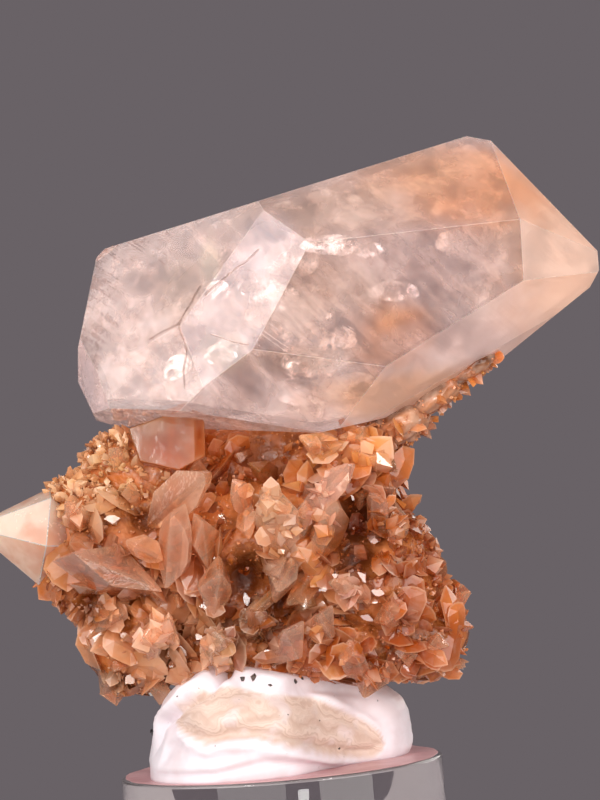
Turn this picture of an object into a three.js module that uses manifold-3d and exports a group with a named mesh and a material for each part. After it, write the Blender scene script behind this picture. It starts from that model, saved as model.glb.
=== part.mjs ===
// Calcite on matrix: one large slanting calcite crystal on a druse of small peach crystals,
// pressed into a lump of putty on a round clear stand. Millimetres, +Z up, the front looks along -Y.
import * as THREE from "three";
import { ConvexGeometry } from "three/addons/geometries/ConvexGeometry.js";
import { mergeVertices } from "three/addons/utils/BufferGeometryUtils.js";
import Module from "manifold-3d";

const wasm = await Module();
wasm.setup();

// Driving dimensions, in millimetres
const BASE_RADIUS = 25;
const BASE_THICK = 20;
const BASE_CHAMFER = 0.5;
const BASE_SIDES = 60;
const SEAT_GAP = 0.3;
const PUTTY_HEIGHT = 15;

// The point that the specimen is looked at from. The faces round the rim of the large crystal
// stand edge-on to it, so each of their planes holds this point.
const EYE = new THREE.Vector3(7.5, -620, 81.6);

const point = ([x, y, z]) => new THREE.Vector3(x, y, z);

// A repeatable stream of numbers from 0 to 1, started from a whole number.
function numberStream(seed) {
  let state = seed;
  return () => {
    state = (state + 0x6d2b79f5) | 0;
    let mixed = Math.imul(state ^ (state >>> 15), 1 | state);
    mixed = (mixed + Math.imul(mixed ^ (mixed >>> 7), 61 | mixed)) ^ mixed;
    return ((mixed ^ (mixed >>> 14)) >>> 0) / 4294967296;
  };
}

// Flat-faced solids

// Tolerances: normals closer to parallel than the first don't meet, places within the second lie
// on a plane, and corners within the third are one corner, as mesh vertices within the fourth are.
const PARALLEL_LIMIT = 1e-6;
const ON_PLANE = 1e-4;
const SAME_CORNER = 0.02;
const SAME_VERTEX = 1e-4;

// The plane through three points, with its normal turned away from a point inside the solid.
function faceThrough(a, b, c, inside) {
  const face = new THREE.Plane().setFromCoplanarPoints(a, b, c);
  return face.distanceToPoint(inside) > 0 ? face.negate() : face;
}

// The plane that faces along a direction, at a distance from a centre.
function faceAlong(direction, centre, distance) {
  const normal = direction.clone().normalize();
  return new THREE.Plane(normal, -normal.dot(centre) - distance);
}

// The place where three planes meet, or null where they have no single one.
function meeting(a, b, c) {
  const across = new THREE.Vector3().crossVectors(b.normal, c.normal);
  const size = a.normal.dot(across);
  if (Math.abs(size) < PARALLEL_LIMIT) return null;
  const place = across.multiplyScalar(-a.constant);
  place.addScaledVector(new THREE.Vector3().crossVectors(c.normal, a.normal), -b.constant);
  place.addScaledVector(new THREE.Vector3().crossVectors(a.normal, b.normal), -c.constant);
  return place.divideScalar(size);
}

// Every corner of the solid that lies behind all the planes, after they move out by `grow`.
function cornersOf(faces, grow = 0) {
  const planes = faces.map((face) => new THREE.Plane(face.normal, face.constant - grow));
  const corners = [];
  for (let i = 0; i < planes.length; i += 1) {
    for (let j = i + 1; j < planes.length; j += 1) {
      for (let k = j + 1; k < planes.length; k += 1) {
        const place = meeting(planes[i], planes[j], planes[k]);
        if (place === null) continue;
        if (planes.some((plane) => plane.distanceToPoint(place) > ON_PLANE)) continue;
        if (corners.some((corner) => corner.distanceTo(place) < SAME_CORNER)) continue;
        corners.push(place);
      }
    }
  }
  return corners;
}

// A closed geometry as a solid that can be joined and cut.
function solidFromGeometry(geometry) {
  const bare = geometry.clone();
  bare.deleteAttribute("normal");
  bare.deleteAttribute("uv");
  const merged = mergeVertices(bare, SAME_VERTEX);
  return new wasm.Manifold(new wasm.Mesh({
    numProp: 3,
    vertProperties: new Float32Array(merged.attributes.position.array),
    triVerts: new Uint32Array(merged.index.array),
  }));
}

// A solid's surface as a geometry.
function geometryFromSolid(solid) {
  const { vertProperties, triVerts } = solid.getMesh();
  const geometry = new THREE.BufferGeometry();
  geometry.setAttribute("position", new THREE.BufferAttribute(vertProperties, 3));
  geometry.setIndex(new THREE.BufferAttribute(triVerts, 1));
  geometry.computeVertexNormals();
  return geometry;
}

const solidOfCorners = (corners) => solidFromGeometry(new ConvexGeometry(corners));
const solidOfFaces = (faces, grow = 0) => solidOfCorners(cornersOf(faces, grow));
const joined = (solids) => solids.reduce((whole, solid) => whole.add(solid));

// The large crystal

// Corners that the front shows. The knot, heel and foot are at the left end, the tip is at the right.
const CREST = point([4.3, -9.1, 105.7]);
const HIP = point([10.9, -14, 100]);
const SHOULDER = point([43.1, -12.5, 101]);
const SHOULDER_TOP = point([40.2, -1.5, 113.6]);
const WAIST = point([1, -15.5, 84.6]);
const KNEE = point([-7, -14, 79.5]);
const LEFT_KNOT = point([-9.2, -9.5, 89.4]);
const LEFT_HEEL = point([-23.3, -4, 83.1]);
const LEFT_FOOT = point([-21.7, -6.8, 77.4]);
const CHIN = point([20.8, -14.9, 80.3]);
const CHEEK = point([43, -13.1, 91.7]);
const KEEL = point([15.3, -13.1, 74]);
const TIP_LOW = point([54.6, -8.6, 91.8]);
const TIP_HIGH = point([54.6, -8.3, 95.4]);
const HEEL_BACK = point([-26.5, 2, 84.3]);
const FOOT_BACK = point([-23.4, 6, 75]);
const UNDER_FRONT = point([5.6, -12.5, 72.3]);
const UNDER_RIGHT = [point([22.5, -10.6, 74.5]), point([38.2, -8.9, 81.8]), point([33.4, 1, 76.1])];
const MIDDLE = point([14.3, 0, 92.8]);

// The outline that the front view shows, as [x, z] in the plane y = 0, clockwise from the upper left.
const RIM = [
  [-20.8, 102.1], [36.6, 114.9], [40.3, 113.9], [55.4, 95.5], [55.4, 92.5], [53.8, 90], [33.4, 76.1],
  [26.2, 73.2], [10, 70.9], [-21.2, 74.5], [-24.3, 75.7], [-26.6, 81.8], [-26.2, 87.1], [-22.2, 100.8],
];

// How far behind the middle the back faces lie. Calcite has a centre of symmetry, so each back
// face is parallel to a front one.
const BACK_DEPTH = { front: 14, top: 20, left: 31, leftLow: 22, lowRight: 25, tipUpper: 36 };

// The front faces through their corners, the rim faces through the eye, and the back faces.
function largeCrystalFaces() {
  const front = {
    front: faceThrough(HIP, SHOULDER, WAIST, MIDDLE),
    pale: faceThrough(HIP, WAIST, KNEE, MIDDLE),
    top: faceThrough(HIP, SHOULDER, CREST, MIDDLE),
    left: faceThrough(CREST, LEFT_KNOT, LEFT_HEEL, MIDDLE),
    leftLow: faceThrough(LEFT_KNOT, LEFT_HEEL, KNEE, MIDDLE),
    low: faceThrough(WAIST, KNEE, CHIN, MIDDLE),
    lowRight: faceThrough(CHIN, CHEEK, KEEL, MIDDLE),
    tipLower: faceThrough(SHOULDER, CHEEK, TIP_LOW, MIDDLE),
    tipUpper: faceThrough(SHOULDER, SHOULDER_TOP, TIP_HIGH, MIDDLE),
    leftFoot: faceThrough(LEFT_HEEL, LEFT_FOOT, HEEL_BACK, MIDDLE),
    underRight: faceThrough(...UNDER_RIGHT, MIDDLE),
    under: faceThrough(LEFT_FOOT, UNDER_FRONT, FOOT_BACK, MIDDLE),
  };
  const rim = RIM.map(([x, z], i) => {
    const [nextX, nextZ] = RIM[(i + 1) % RIM.length];
    return faceThrough(EYE, new THREE.Vector3(x, 0, z), new THREE.Vector3(nextX, 0, nextZ), MIDDLE);
  });
  const back = Object.entries(BACK_DEPTH).map(
    ([name, depth]) => faceAlong(front[name].normal.clone().negate(), MIDDLE, depth));
  return [...Object.values(front), ...rim, ...back];
}

// The pale point at the left end: a stout dogtooth. Six faces run to its tip, six more taper
// towards a second tip inside the druse, and a flat root ends it there.
const POINT_TIP = point([-45, -3, 60.8]);
const POINT_BACK_TIP = point([-22.5, 0, 56]);
const POINT_ROOT = point([-28, -1, 58]);
const POINT_SLOPE = 0.6;
const POINT_FLATNESS = 0.85;
const POINT_TURNS = [12, 66, 128, 192, 246, 308];

// Faces about the point's long axis; each leans by the slope, less across the flat way.
function pointCrystalFaces() {
  const along = new THREE.Vector3().subVectors(POINT_TIP, POINT_BACK_TIP).normalize();
  const depth = new THREE.Vector3(0, 1, 0).addScaledVector(along, -along.y).normalize();
  const height = new THREE.Vector3().crossVectors(along, depth);
  const faces = [faceAlong(along.clone().negate(), POINT_ROOT, 0)];
  for (const turn of POINT_TURNS) {
    const angle = THREE.MathUtils.degToRad(turn);
    const slope = POINT_SLOPE / Math.hypot(Math.cos(angle), Math.sin(angle) / POINT_FLATNESS);
    const outward = height.clone().multiplyScalar(Math.cos(angle)).addScaledVector(depth, Math.sin(angle));
    faces.push(faceAlong(outward.clone().addScaledVector(along, slope), POINT_TIP, 0));
    faces.push(faceAlong(outward.clone().addScaledVector(along, -slope), POINT_BACK_TIP, 0));
  }
  return faces;
}

// Small crystals

// How the form of a blade varies, as [from, to]: the lean of its ridged faces and the slope of its
// end faces in degrees, and how far ridge and tip move off its middle as a share of its half width.
const BLADE_RIDGE = [10, 24];
const BLADE_TAPER = [30, 48];
const BLADE_SKEW = [-0.45, 0.45];

// Multiples of an irrational step spread evenly over 0 to 1, so neighbours in a list differ.
const SHARE_STEPS = { ridge: 0.382, taper: 0.618, skew: 0.755 };

function variedForm(number) {
  const between = ([from, to], step) => from + (to - from) * ((number * step) % 1);
  return {
    ridge: between(BLADE_RIDGE, SHARE_STEPS.ridge),
    taper: between(BLADE_TAPER, SHARE_STEPS.taper),
    skew: between(BLADE_SKEW, SHARE_STEPS.skew),
  };
}

// A flattened calcite blade from its root to its tip: four broad faces that meet in a low ridge,
// two sides, and two steep faces at each end.
function bladeFaces({ root, tip, wide, thick, facing = [0, -1, 0], ridge, taper, skew = 0 }) {
  const from = point(root);
  const to = point(tip);
  const along = new THREE.Vector3().subVectors(to, from).normalize();
  const broad = point(facing);
  broad.addScaledVector(along, -broad.dot(along)).normalize();
  const side = new THREE.Vector3().crossVectors(along, broad);
  const centre = from.clone().add(to).multiplyScalar(0.5);
  const ridgeCentre = centre.clone().addScaledVector(side, (skew * wide) / 2);
  const half = from.distanceTo(to) / 2;
  const lean = THREE.MathUtils.degToRad(ridge);
  const slope = THREE.MathUtils.degToRad(taper);
  const faces = [];
  for (const sign of [-1, 1]) {
    const right = side.clone().multiplyScalar(sign);
    const end = along.clone().multiplyScalar(sign);
    faces.push(faceAlong(right, centre, wide / 2));
    for (const turn of [-1, 1]) {
      const ridged = broad.clone().multiplyScalar(turn * Math.cos(lean));
      ridged.addScaledVector(right, Math.sin(lean));
      faces.push(faceAlong(ridged, ridgeCentre, (thick / 2) * Math.cos(lean)));
      const bevel = side.clone().multiplyScalar(turn * Math.cos(slope));
      bevel.addScaledVector(end, Math.sin(slope));
      faces.push(faceAlong(bevel, ridgeCentre, half * Math.sin(slope)));
    }
  }
  return faces;
}

// The crystals that stand out on the front of the druse, each by its root and tip.
const FRONT_CRYSTALS = [
  { root: [-16.5, -8, 49.9], tip: [-30.1, -15, 57.7], wide: 9.5, thick: 7, facing: [-0.2, -1, 0.5] },
  { root: [-17.4, -11, 59.5], tip: [-7.5, -15, 67.4], wide: 7, thick: 3.2, facing: [0.2, -1, 0.4] },
  { root: [-14.3, -11, 49.7], tip: [-12.2, -17, 61.9], wide: 5.4, thick: 4, facing: [-0.5, -1, 0.1] },
  { root: [-15.6, -13, 54.5], tip: [-19.7, -18, 57.3], wide: 3.6, thick: 2.4 },
  { root: [-7.9, -12, 52.3], tip: [-8.1, -16, 60.6], wide: 6, thick: 3, facing: [0.4, -1, 0.1] },
  { root: [-9.4, -12, 45.4], tip: [-7.5, -17, 53], wide: 7.6, thick: 5, facing: [0.1, -1, -0.3] },
  { root: [-1.9, -12, 59.6], tip: [-3.1, -17, 65], wide: 3.8, thick: 2, facing: [0.3, -1, 0.3] },
  { root: [-1.9, -12, 61.4], tip: [-2.6, -17, 56.4], wide: 3.8, thick: 2, facing: [-0.3, -1, -0.2] },
  { root: [3.1, -12, 52.3], tip: [2.5, -18, 63.5], wide: 6.4, thick: 4.5, facing: [-0.3, -1, 0.2] },
  { root: [4.5, -12, 54.5], tip: [7.1, -16, 60.5], wide: 4.6, thick: 3, facing: [0.5, -1, 0] },
  { root: [6, -13, 57.8], tip: [14.6, -17, 66.4], wide: 4.6, thick: 2.4, facing: [-0.2, -1, 0.3] },
  { root: [8.3, -11, 52.2], tip: [12.3, -16, 60.8], wide: 5, thick: 3.4, facing: [0.4, -1, -0.1] },
  { root: [4.1, -12, 53.4], tip: [0.2, -17, 47.3], wide: 6.4, thick: 3.4, facing: [-0.2, -1, -0.2] },
  { root: [10.7, -10, 51.6], tip: [3, -15, 44.5], wide: 5.2, thick: 2.6, facing: [0.3, -1, 0.3] },
  { root: [2.8, -12, 48.5], tip: [-3.9, -15, 43.5], wide: 1.8, thick: 4 },
  { root: [17.2, -11, 45.6], tip: [10.4, -16, 49.2], wide: 6, thick: 3.6, facing: [0.1, -1, 0.3] },
  { root: [17.9, -10, 54.1], tip: [18.2, -15, 62.1], wide: 3.4, thick: 2.2, facing: [-0.6, -1, 0] },
  { root: [21.1, -8, 58.6], tip: [20.2, -14, 53.4], wide: 3.6, thick: 3 },
  { root: [19.4, -10, 50.6], tip: [16.9, -15, 50.3], wide: 2.6, thick: 2 },
  { root: [22, -10, 44.9], tip: [16.5, -15, 41.8], wide: 5, thick: 2.6, facing: [0.2, -1, -0.4] },
  { root: [1.7, -12, 36.1], tip: [4.4, -18, 42], wide: 5.2, thick: 4.2, facing: [-0.5, -1, 0.2] },
  { root: [13.1, -12, 33.6], tip: [11.6, -18, 38.5], wide: 3.8, thick: 3.2 },
  { root: [-7.6, -12, 36.8], tip: [-8, -18, 42.5], wide: 4.8, thick: 3.6, facing: [0.3, -1, 0.3] },
  { root: [-17.9, -9, 38.7], tip: [-18.7, -15, 42.9], wide: 3.6, thick: 2.6, facing: [-0.4, -1, 0] },
  { root: [-23.2, -2, 37.9], tip: [-27.1, -6, 34.7], wide: 4.2, thick: 3, facing: [-0.2, -1, 0.2] },
  { root: [13.9, -7, 67.8], tip: [6.9, -13, 69.4], wide: 5, thick: 3, facing: [0, -1, -0.4] },
  { root: [18, -5, 69.2], tip: [14.6, -12, 69.6], wide: 5, thick: 4 },
  { root: [19.9, -6, 65.7], tip: [17.1, -13, 67], wide: 5, thick: 4.2 },
  { root: [3, -2, 64.2], tip: [0, -11, 67.1], wide: 3.2, thick: 2.4 },
  { root: [-26.1, -7, 59.4], tip: [-29.6, -11, 62.8], wide: 3.8, thick: 2.8 },
  { root: [26.5, 0, 50.4], tip: [26.7, -5, 46.9], wide: 2.8, thick: 2 },
  { root: [26.1, -1, 40.2], tip: [30.7, -6, 39.2], wide: 2.4, thick: 2 },
  { root: [-22.2, -6, 48.6], tip: [-26.6, -12, 45.2], wide: 5.4, thick: 4, facing: [-0.4, -1, -0.2] },
  { root: [0.8, -12, 53.7], tip: [3.5, -17, 49.7], wide: 5, thick: 3 },
  { root: [16.6, -7, 63.6], tip: [15.6, -13, 59.5], wide: 4.8, thick: 2.4 },
  { root: [-3.1, -11, 40.6], tip: [-0.8, -16, 45.8], wide: 5.5, thick: 3.6, facing: [0.4, -1, 0.2] },
  { root: [7.1, -12, 38.4], tip: [9.4, -17, 44.1], wide: 5.5, thick: 3.6, facing: [-0.4, -1, 0.1] },
  { root: [15.8, -6, 36.4], tip: [14.8, -15, 31.6], wide: 5, thick: 3.6 },
  { root: [-18.1, -8, 44.7], tip: [-14.3, -14, 41.6], wide: 5, thick: 3, facing: [0.3, -1, -0.3] },
];

// The block-shaped crystal under the left half of the large one, square-ended.
const UNDER_BLOCK = {
  root: [-13.7, -2.5, 76], tip: [-14.3, -5, 65.6], wide: 12.8, thick: 9, ridge: 8, taper: 74,
};

// The rock under the crystals: lumps by centre and half sizes, tilted in the picture plane.
const ROCK_LUMPS = [
  { centre: [0, 0.5, 52], half: [22, 14.5, 15], tilt: 0, seed: 11 },
  { centre: [-21, 1, 55], half: [15, 12.5, 12], tilt: 20, seed: 12 },
  { centre: [-17, 2, 65], half: [11, 9, 8], tilt: -30, seed: 13 },
  { centre: [-26, 0, 61], half: [8, 8, 5], tilt: -35, seed: 19 },
  { centre: [-19, 0, 42], half: [11, 10, 8.5], tilt: 35, seed: 14 },
  { centre: [17, -1, 47], half: [10.5, 13, 14], tilt: 14, seed: 15 },
  { centre: [4, 0, 38.5], half: [26, 14.5, 7.5], tilt: -2, seed: 16 },
  { centre: [22.5, -0.5, 38], half: [8.5, 10.5, 6], tilt: 0, seed: 20 },
  { centre: [15, -1, 62], half: [7, 10.5, 11], tilt: -6, seed: 17 },
  { centre: [2, 5, 66], half: [17, 9, 8], tilt: 0, seed: 18 },
];
const LUMP_POINTS = 40;
const LUMP_REACH = [0.9, 1.06];

// The turn that leans a lump's bottom to the right by its tilt.
const tiltTurn = (tilt) => new THREE.Matrix4().makeRotationY(THREE.MathUtils.degToRad(-tilt));

// A craggy convex lump: points spread evenly over an ellipsoid, each at a random share of its reach.
function rockCorners({ centre, half, tilt, seed }) {
  const random = numberStream(seed);
  const turn = tiltTurn(tilt);
  const goldenTurn = Math.PI * (3 - Math.sqrt(5));
  const corners = [];
  for (let i = 0; i < LUMP_POINTS; i += 1) {
    const height = 1 - (2 * (i + 0.5)) / LUMP_POINTS;
    const around = i * goldenTurn;
    const ring = Math.sqrt(1 - height * height);
    const place = new THREE.Vector3(ring * Math.cos(around), ring * Math.sin(around), height);
    const reach = LUMP_REACH[0] + (LUMP_REACH[1] - LUMP_REACH[0]) * random();
    corners.push(place.multiply(point(half)).multiplyScalar(reach).applyMatrix4(turn).add(point(centre)));
  }
  return corners;
}

const lumpSolid = (lump) => solidOfCorners(rockCorners(lump));

// The same lump, a little larger, for cutting its seat in the putty. Its flat faces lie inside the
// ellipsoid and slant to its axes, so the half sizes grow by more than the gap.
const LUMP_SEAT_GROWTH = 1.4 * SEAT_GAP;

function grownLump(lump) {
  return lumpSolid({ ...lump, half: lump.half.map((size) => size + LUMP_SEAT_GROWTH) });
}

// The thin crust that sticks to the lower right face of the large crystal.
const CRUST_LUMPS = [
  { centre: [22.5, -2, 71.5], half: [5, 7, 3.6], tilt: 20, seed: 31 },
  { centre: [28.5, -4, 75.2], half: [5, 4.6, 2.2], tilt: 30, seed: 32 },
  { centre: [34.5, -5, 79.2], half: [4.6, 3.4, 1.6], tilt: 32, seed: 33 },
];

// Small crystals strewn over the rock: how many, and how their lengths and proportions run. `level` is
// the share of the lump's reach at which they sit, `sunk` the share of their length below it, and
// `lean` how far they lean off the outward way.
const STREWN = {
  count: 84, seed: 27, long: [4.2, 8.5], wideShare: 0.62, thickShare: 0.42, proportion: [0.8, 1.2],
  level: 0.9, sunk: 0.42, lean: 0.75,
};
// A root deeper than this share of its lump's reach holds its crystal.
const ROOT_LEVEL = 0.8;
// Sites lower than this stay bare, and so do tips within the margin of the two large crystals.
const STREWN_FLOOR = 31;
const CRYSTAL_MARGIN = 2.5;

// How deep a place lies inside a lump's ellipsoid: under 1 inside, over 1 outside.
function depthIn(place, { centre, half, tilt }) {
  const local = place.clone().sub(point(centre)).applyMatrix4(tiltTurn(-tilt));
  return local.divide(point(half)).length();
}

// The number of the weight that a share from 0 to 1 of their sum falls on.
function pickByWeight(weights, share) {
  let left = share * weights.reduce((sum, weight) => sum + weight, 0);
  return weights.findIndex((weight) => {
    left -= weight;
    return left <= 0;
  });
}

// Random crystals on the lumps. One is kept if its site is open, its root is held by its lump, and
// its tip is free of every solid in `keepOut`, each of which is a list of faces.
function strewnCrystals(keepOut) {
  const random = numberStream(STREWN.seed);
  const spread = () => 2 * random() - 1;
  const between = ([from, to], share) => from + (to - from) * share;
  const weights = ROCK_LUMPS.map(({ half: [x, y, z] }) => x * y + y * z + x * z);
  const crystals = [];
  while (crystals.length < STREWN.count) {
    const lump = ROCK_LUMPS[pickByWeight(weights, random())];
    const half = point(lump.half);
    const turn = tiltTurn(lump.tilt);
    const direction = new THREE.Vector3(spread(), spread(), spread()).normalize();
    const site = direction.clone().multiply(half).multiplyScalar(STREWN.level);
    site.applyMatrix4(turn).add(point(lump.centre));
    const along = direction.clone().divide(half).applyMatrix4(turn).normalize();
    along.addScaledVector(new THREE.Vector3(spread(), spread(), spread()), STREWN.lean).normalize();
    const long = between(STREWN.long, random() ** 2);
    const facing = new THREE.Vector3(spread(), spread(), spread());
    const root = site.clone().addScaledVector(along, -STREWN.sunk * long);
    const tip = site.clone().addScaledVector(along, (1 - STREWN.sunk) * long);
    const others = ROCK_LUMPS.filter((other) => other !== lump);
    const covered = others.some((other) => depthIn(site, other) < STREWN.level);
    const loose = depthIn(root, lump) > ROOT_LEVEL;
    const low = site.z < STREWN_FLOOR || tip.z < STREWN_FLOOR - 1;
    const touches = (faces) => faces.every((face) => face.distanceToPoint(tip) < CRYSTAL_MARGIN);
    const close = keepOut.some(touches);
    if (covered || loose || low || close) continue;
    const wide = long * STREWN.wideShare * between(STREWN.proportion, random());
    const thick = long * STREWN.thickShare * between(STREWN.proportion, random());
    crystals.push({ root: root.toArray(), tip: tip.toArray(), wide, thick, facing: facing.toArray() });
  }
  return crystals;
}

// The putty: a squat blob whose foot follows this outline on the stand, as [x, y].
const PUTTY_FOOT = [
  [-19.5, -13], [-13, -20.5], [-4, -22.8], [2, -20.5], [7, -14], [12, -8.5], [18, -4.5], [20.6, 2], [19, 10],
  [12, 16], [2, 18.5], [-8, 17.5], [-16, 12], [-20.5, 2],
];
const PUTTY_CENTRE = [-1, -2];
const PUTTY_AROUND = 40;
const PUTTY_RINGS = 14;

// The putty falls off to the right and the back, by these rises per millimetre.
const PUTTY_SLOPE = { x: -0.1, y: -0.05 };
// Its top has two slow waves: height, and phase per millimetre along x and y.
const PUTTY_WAVES = [
  { height: 0.5, x: 0.42, y: 0.25, start: 0 },
  { height: 0.35, x: -0.5, y: 0.31, start: 1 },
];
// The powers that make its sides steep and its top flat, and the share of its height at its waist.
const PUTTY_SIDE_POWER = 0.55;
const PUTTY_TOP_POWER = 0.8;
const PUTTY_WAIST = 0.3;

// How high the putty stands over a place.
function puttyTop(x, y) {
  const waves = PUTTY_WAVES.map((wave) => wave.height * Math.sin(wave.x * x + wave.y * y + wave.start));
  return PUTTY_HEIGHT + PUTTY_SLOPE.x * x + PUTTY_SLOPE.y * y + waves[0] + waves[1];
}

// A sphere's grid, pushed out to the foot's outline and up to the top's height.
function puttySolid() {
  const foot = PUTTY_FOOT.map(([x, y]) => new THREE.Vector3(x, y, 0));
  const outline = new THREE.CatmullRomCurve3(foot, true);
  const geometry = new THREE.SphereGeometry(1, PUTTY_AROUND, PUTTY_RINGS);
  const position = geometry.attributes.position;
  const grid = new THREE.Vector3();
  for (let i = 0; i < position.count; i += 1) {
    grid.fromBufferAttribute(position, i);
    const ring = Math.min(1, Math.hypot(grid.x, grid.z));
    const around = (Math.atan2(-grid.z, grid.x) / (2 * Math.PI) + 1) % 1;
    const edge = outline.getPoint(around);
    const reach = ring ** PUTTY_SIDE_POWER;
    const x = PUTTY_CENTRE[0] + (edge.x - PUTTY_CENTRE[0]) * reach;
    const y = PUTTY_CENTRE[1] + (edge.y - PUTTY_CENTRE[1]) * reach;
    const dome = Math.sign(grid.y) * Math.abs(grid.y) ** PUTTY_TOP_POWER;
    const lift = Math.max(0, PUTTY_WAIST + (1 - PUTTY_WAIST) * dome);
    position.setXYZ(i, x, y, BASE_THICK + puttyTop(x, y) * lift);
  }
  return solidFromGeometry(geometry);
}

// The stand: a round disc with a small chamfer at both rims.
function standGeometry() {
  const inner = BASE_RADIUS - BASE_CHAMFER;
  const profile = [
    [0, 0], [inner, 0], [BASE_RADIUS, BASE_CHAMFER], [BASE_RADIUS, BASE_THICK - BASE_CHAMFER],
    [inner, BASE_THICK], [0, BASE_THICK],
  ];
  const geometry = new THREE.LatheGeometry(profile.map(([r, h]) => new THREE.Vector2(r, h)), BASE_SIDES);
  return geometry.rotateX(Math.PI / 2);
}

// Putting the pieces together

const crystalFaces = largeCrystalFaces();
const pointFaces = pointCrystalFaces();
const blades = [...FRONT_CRYSTALS, ...strewnCrystals([crystalFaces, pointFaces])];
const smallCrystals = blades.map((blade, number) => bladeFaces({ ...blade, ...variedForm(number) }));
smallCrystals.push(bladeFaces(UNDER_BLOCK));
const lumps = [...ROCK_LUMPS, ...CRUST_LUMPS];

const druse = joined([...lumps.map(lumpSolid), ...smallCrystals.map((faces) => solidOfFaces(faces))])
  .subtract(solidOfFaces(crystalFaces, SEAT_GAP))
  .subtract(solidOfFaces(pointFaces, SEAT_GAP));

const grownCrystals = smallCrystals.map((faces) => solidOfFaces(faces, SEAT_GAP));
const putty = puttySolid().subtract(joined([...lumps.map(grownLump), ...grownCrystals]));

const specimen = new THREE.Group();

function addPiece(name, geometry, color, roughness) {
  const piece = new THREE.Mesh(geometry, new THREE.MeshStandardMaterial({ color, roughness, metalness: 0 }));
  piece.name = name;
  specimen.add(piece);
}

addPiece("acrylic_base", standGeometry(), 0xd9b3ae, 0.08);
addPiece("putty", geometryFromSolid(putty), 0xe8dcd6, 0.6);
addPiece("druse_matrix", geometryFromSolid(druse), 0xc08358, 0.35);
addPiece("point_crystal", geometryFromSolid(solidOfFaces(pointFaces)), 0xecc9ad, 0.2);
addPiece("calcite_crystal", geometryFromSolid(solidOfFaces(crystalFaces)), 0xe3cdc6, 0.12);

export default specimen;
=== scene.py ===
# %% [markdown]
# Calcite on matrix, built in cells.
# A mineral specimen is mostly flat faces, so nearly every piece here starts as a set of planes. The packed
# model gives the true sizes and places. This script dresses it: clear and milky calcite, hundreds of small
# crystals, kneaded putty and a clear acrylic stand.

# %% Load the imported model
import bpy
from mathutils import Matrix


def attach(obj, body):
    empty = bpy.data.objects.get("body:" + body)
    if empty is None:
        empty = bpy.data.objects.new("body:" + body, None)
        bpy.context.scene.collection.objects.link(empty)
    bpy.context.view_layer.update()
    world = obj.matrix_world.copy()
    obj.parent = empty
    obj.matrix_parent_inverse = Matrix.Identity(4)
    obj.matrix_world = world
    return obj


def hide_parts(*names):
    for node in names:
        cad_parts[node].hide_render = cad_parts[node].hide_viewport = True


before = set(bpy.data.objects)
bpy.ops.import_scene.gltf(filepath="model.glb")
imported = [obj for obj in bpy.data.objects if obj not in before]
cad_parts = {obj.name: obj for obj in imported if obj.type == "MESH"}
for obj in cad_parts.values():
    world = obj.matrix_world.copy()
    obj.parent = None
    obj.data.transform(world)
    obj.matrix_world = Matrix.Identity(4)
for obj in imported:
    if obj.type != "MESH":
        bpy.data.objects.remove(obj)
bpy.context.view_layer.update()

import itertools
import math

import bpy
import numpy as np
from mathutils import Matrix

MM = 0.001

# %% [markdown]
# The camera stands 620 mm in front of the specimen, almost level with it. The picture is turned by a few
# degrees, so the camera rolls with it. Its three axes are worked out first and become the columns of its
# matrix. That is easier to check than a set of Euler angles.

# %% Camera
VIEW_DISTANCE = 620 * MM
VIEW_ELEVATION = math.radians(0.5)
VIEW_ROLL = math.radians(4.7)
VIEW_TARGET = np.array([7.49, 0.0, 76.22]) * MM
SENSOR = 36.0
FRAME_HEIGHT_MM = 124.2


def camera_axes():
    """Right, up and back of the camera: back from the elevation, the other two turned about it by the roll."""
    back = np.array([0.0, -math.cos(VIEW_ELEVATION), math.sin(VIEW_ELEVATION)])
    level = np.array([1.0, 0.0, 0.0])
    upright = np.cross(back, level)
    right = math.cos(VIEW_ROLL) * level - math.sin(VIEW_ROLL) * upright
    up = math.sin(VIEW_ROLL) * level + math.cos(VIEW_ROLL) * upright
    return right, up, back


scene = bpy.context.scene
camera_data = bpy.data.cameras.new("camera")
camera_data.sensor_width = SENSOR
camera_data.lens = SENSOR * VIEW_DISTANCE / (FRAME_HEIGHT_MM * MM)
camera = bpy.data.objects.new("camera", camera_data)
scene.collection.objects.link(camera)
right, up, back = camera_axes()
pose = np.eye(4)
pose[:3, :3] = np.stack([right, up, back], axis=1)
pose[:3, 3] = VIEW_TARGET + back * VIEW_DISTANCE
camera.matrix_world = Matrix(pose.tolist())
scene.camera = camera
EYE = pose[:3, 3].copy()
print("lens in mm", round(camera_data.lens, 1), "camera at", np.round(EYE / MM, 1).tolist())

# %% [markdown]
# Crystal faces show what they mirror. Large soft boxes give the broad pale sheens: one high on the left,
# one beside the camera, one on the right, one overhead and one behind, which glows through the clear parts.
# Four small boxes only put sparks on small facets. The world is a plain warm grey.

# %% Light and floor
WORLD_GREY = (0.141, 0.122, 0.133, 1.0)
LIGHT_AIM = np.array([5.0, 0.0, 75.0]) * MM
FLOOR_RADIUS, FLOOR_THICK, FLOOR_SIDES = 95 * MM, 2 * MM, 128
SOFT_BOXES = [
    ("key_left", (-440, -350, 400), (560, 500), 2.2, (1.0, 0.965, 0.94)),
    ("front_soft", (-260, -640, 200), (640, 560), 3.0, (1.0, 0.95, 0.92)),
    ("fill_right", (450, -440, 110), (460, 460), 2.3, (1.0, 0.95, 0.9)),
    ("overhead", (60, 40, 560), (460, 420), 0.5, (1.0, 0.97, 0.94)),
    ("rim_back", (330, 430, 260), (400, 400), 1.0, (1.0, 0.95, 0.9)),
    ("spark_high", (110, -440, 520), (90, 90), 0.5, (1.0, 0.98, 0.96)),
    ("spark_right", (330, -470, 420), (80, 80), 0.4, (1.0, 0.98, 0.96)),
    ("spark_left", (-250, -560, 330), (80, 80), 0.4, (1.0, 0.98, 0.96)),
    ("spark_low", (150, -600, 20), (80, 80), 0.25, (1.0, 0.98, 0.96)),
]


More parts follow.
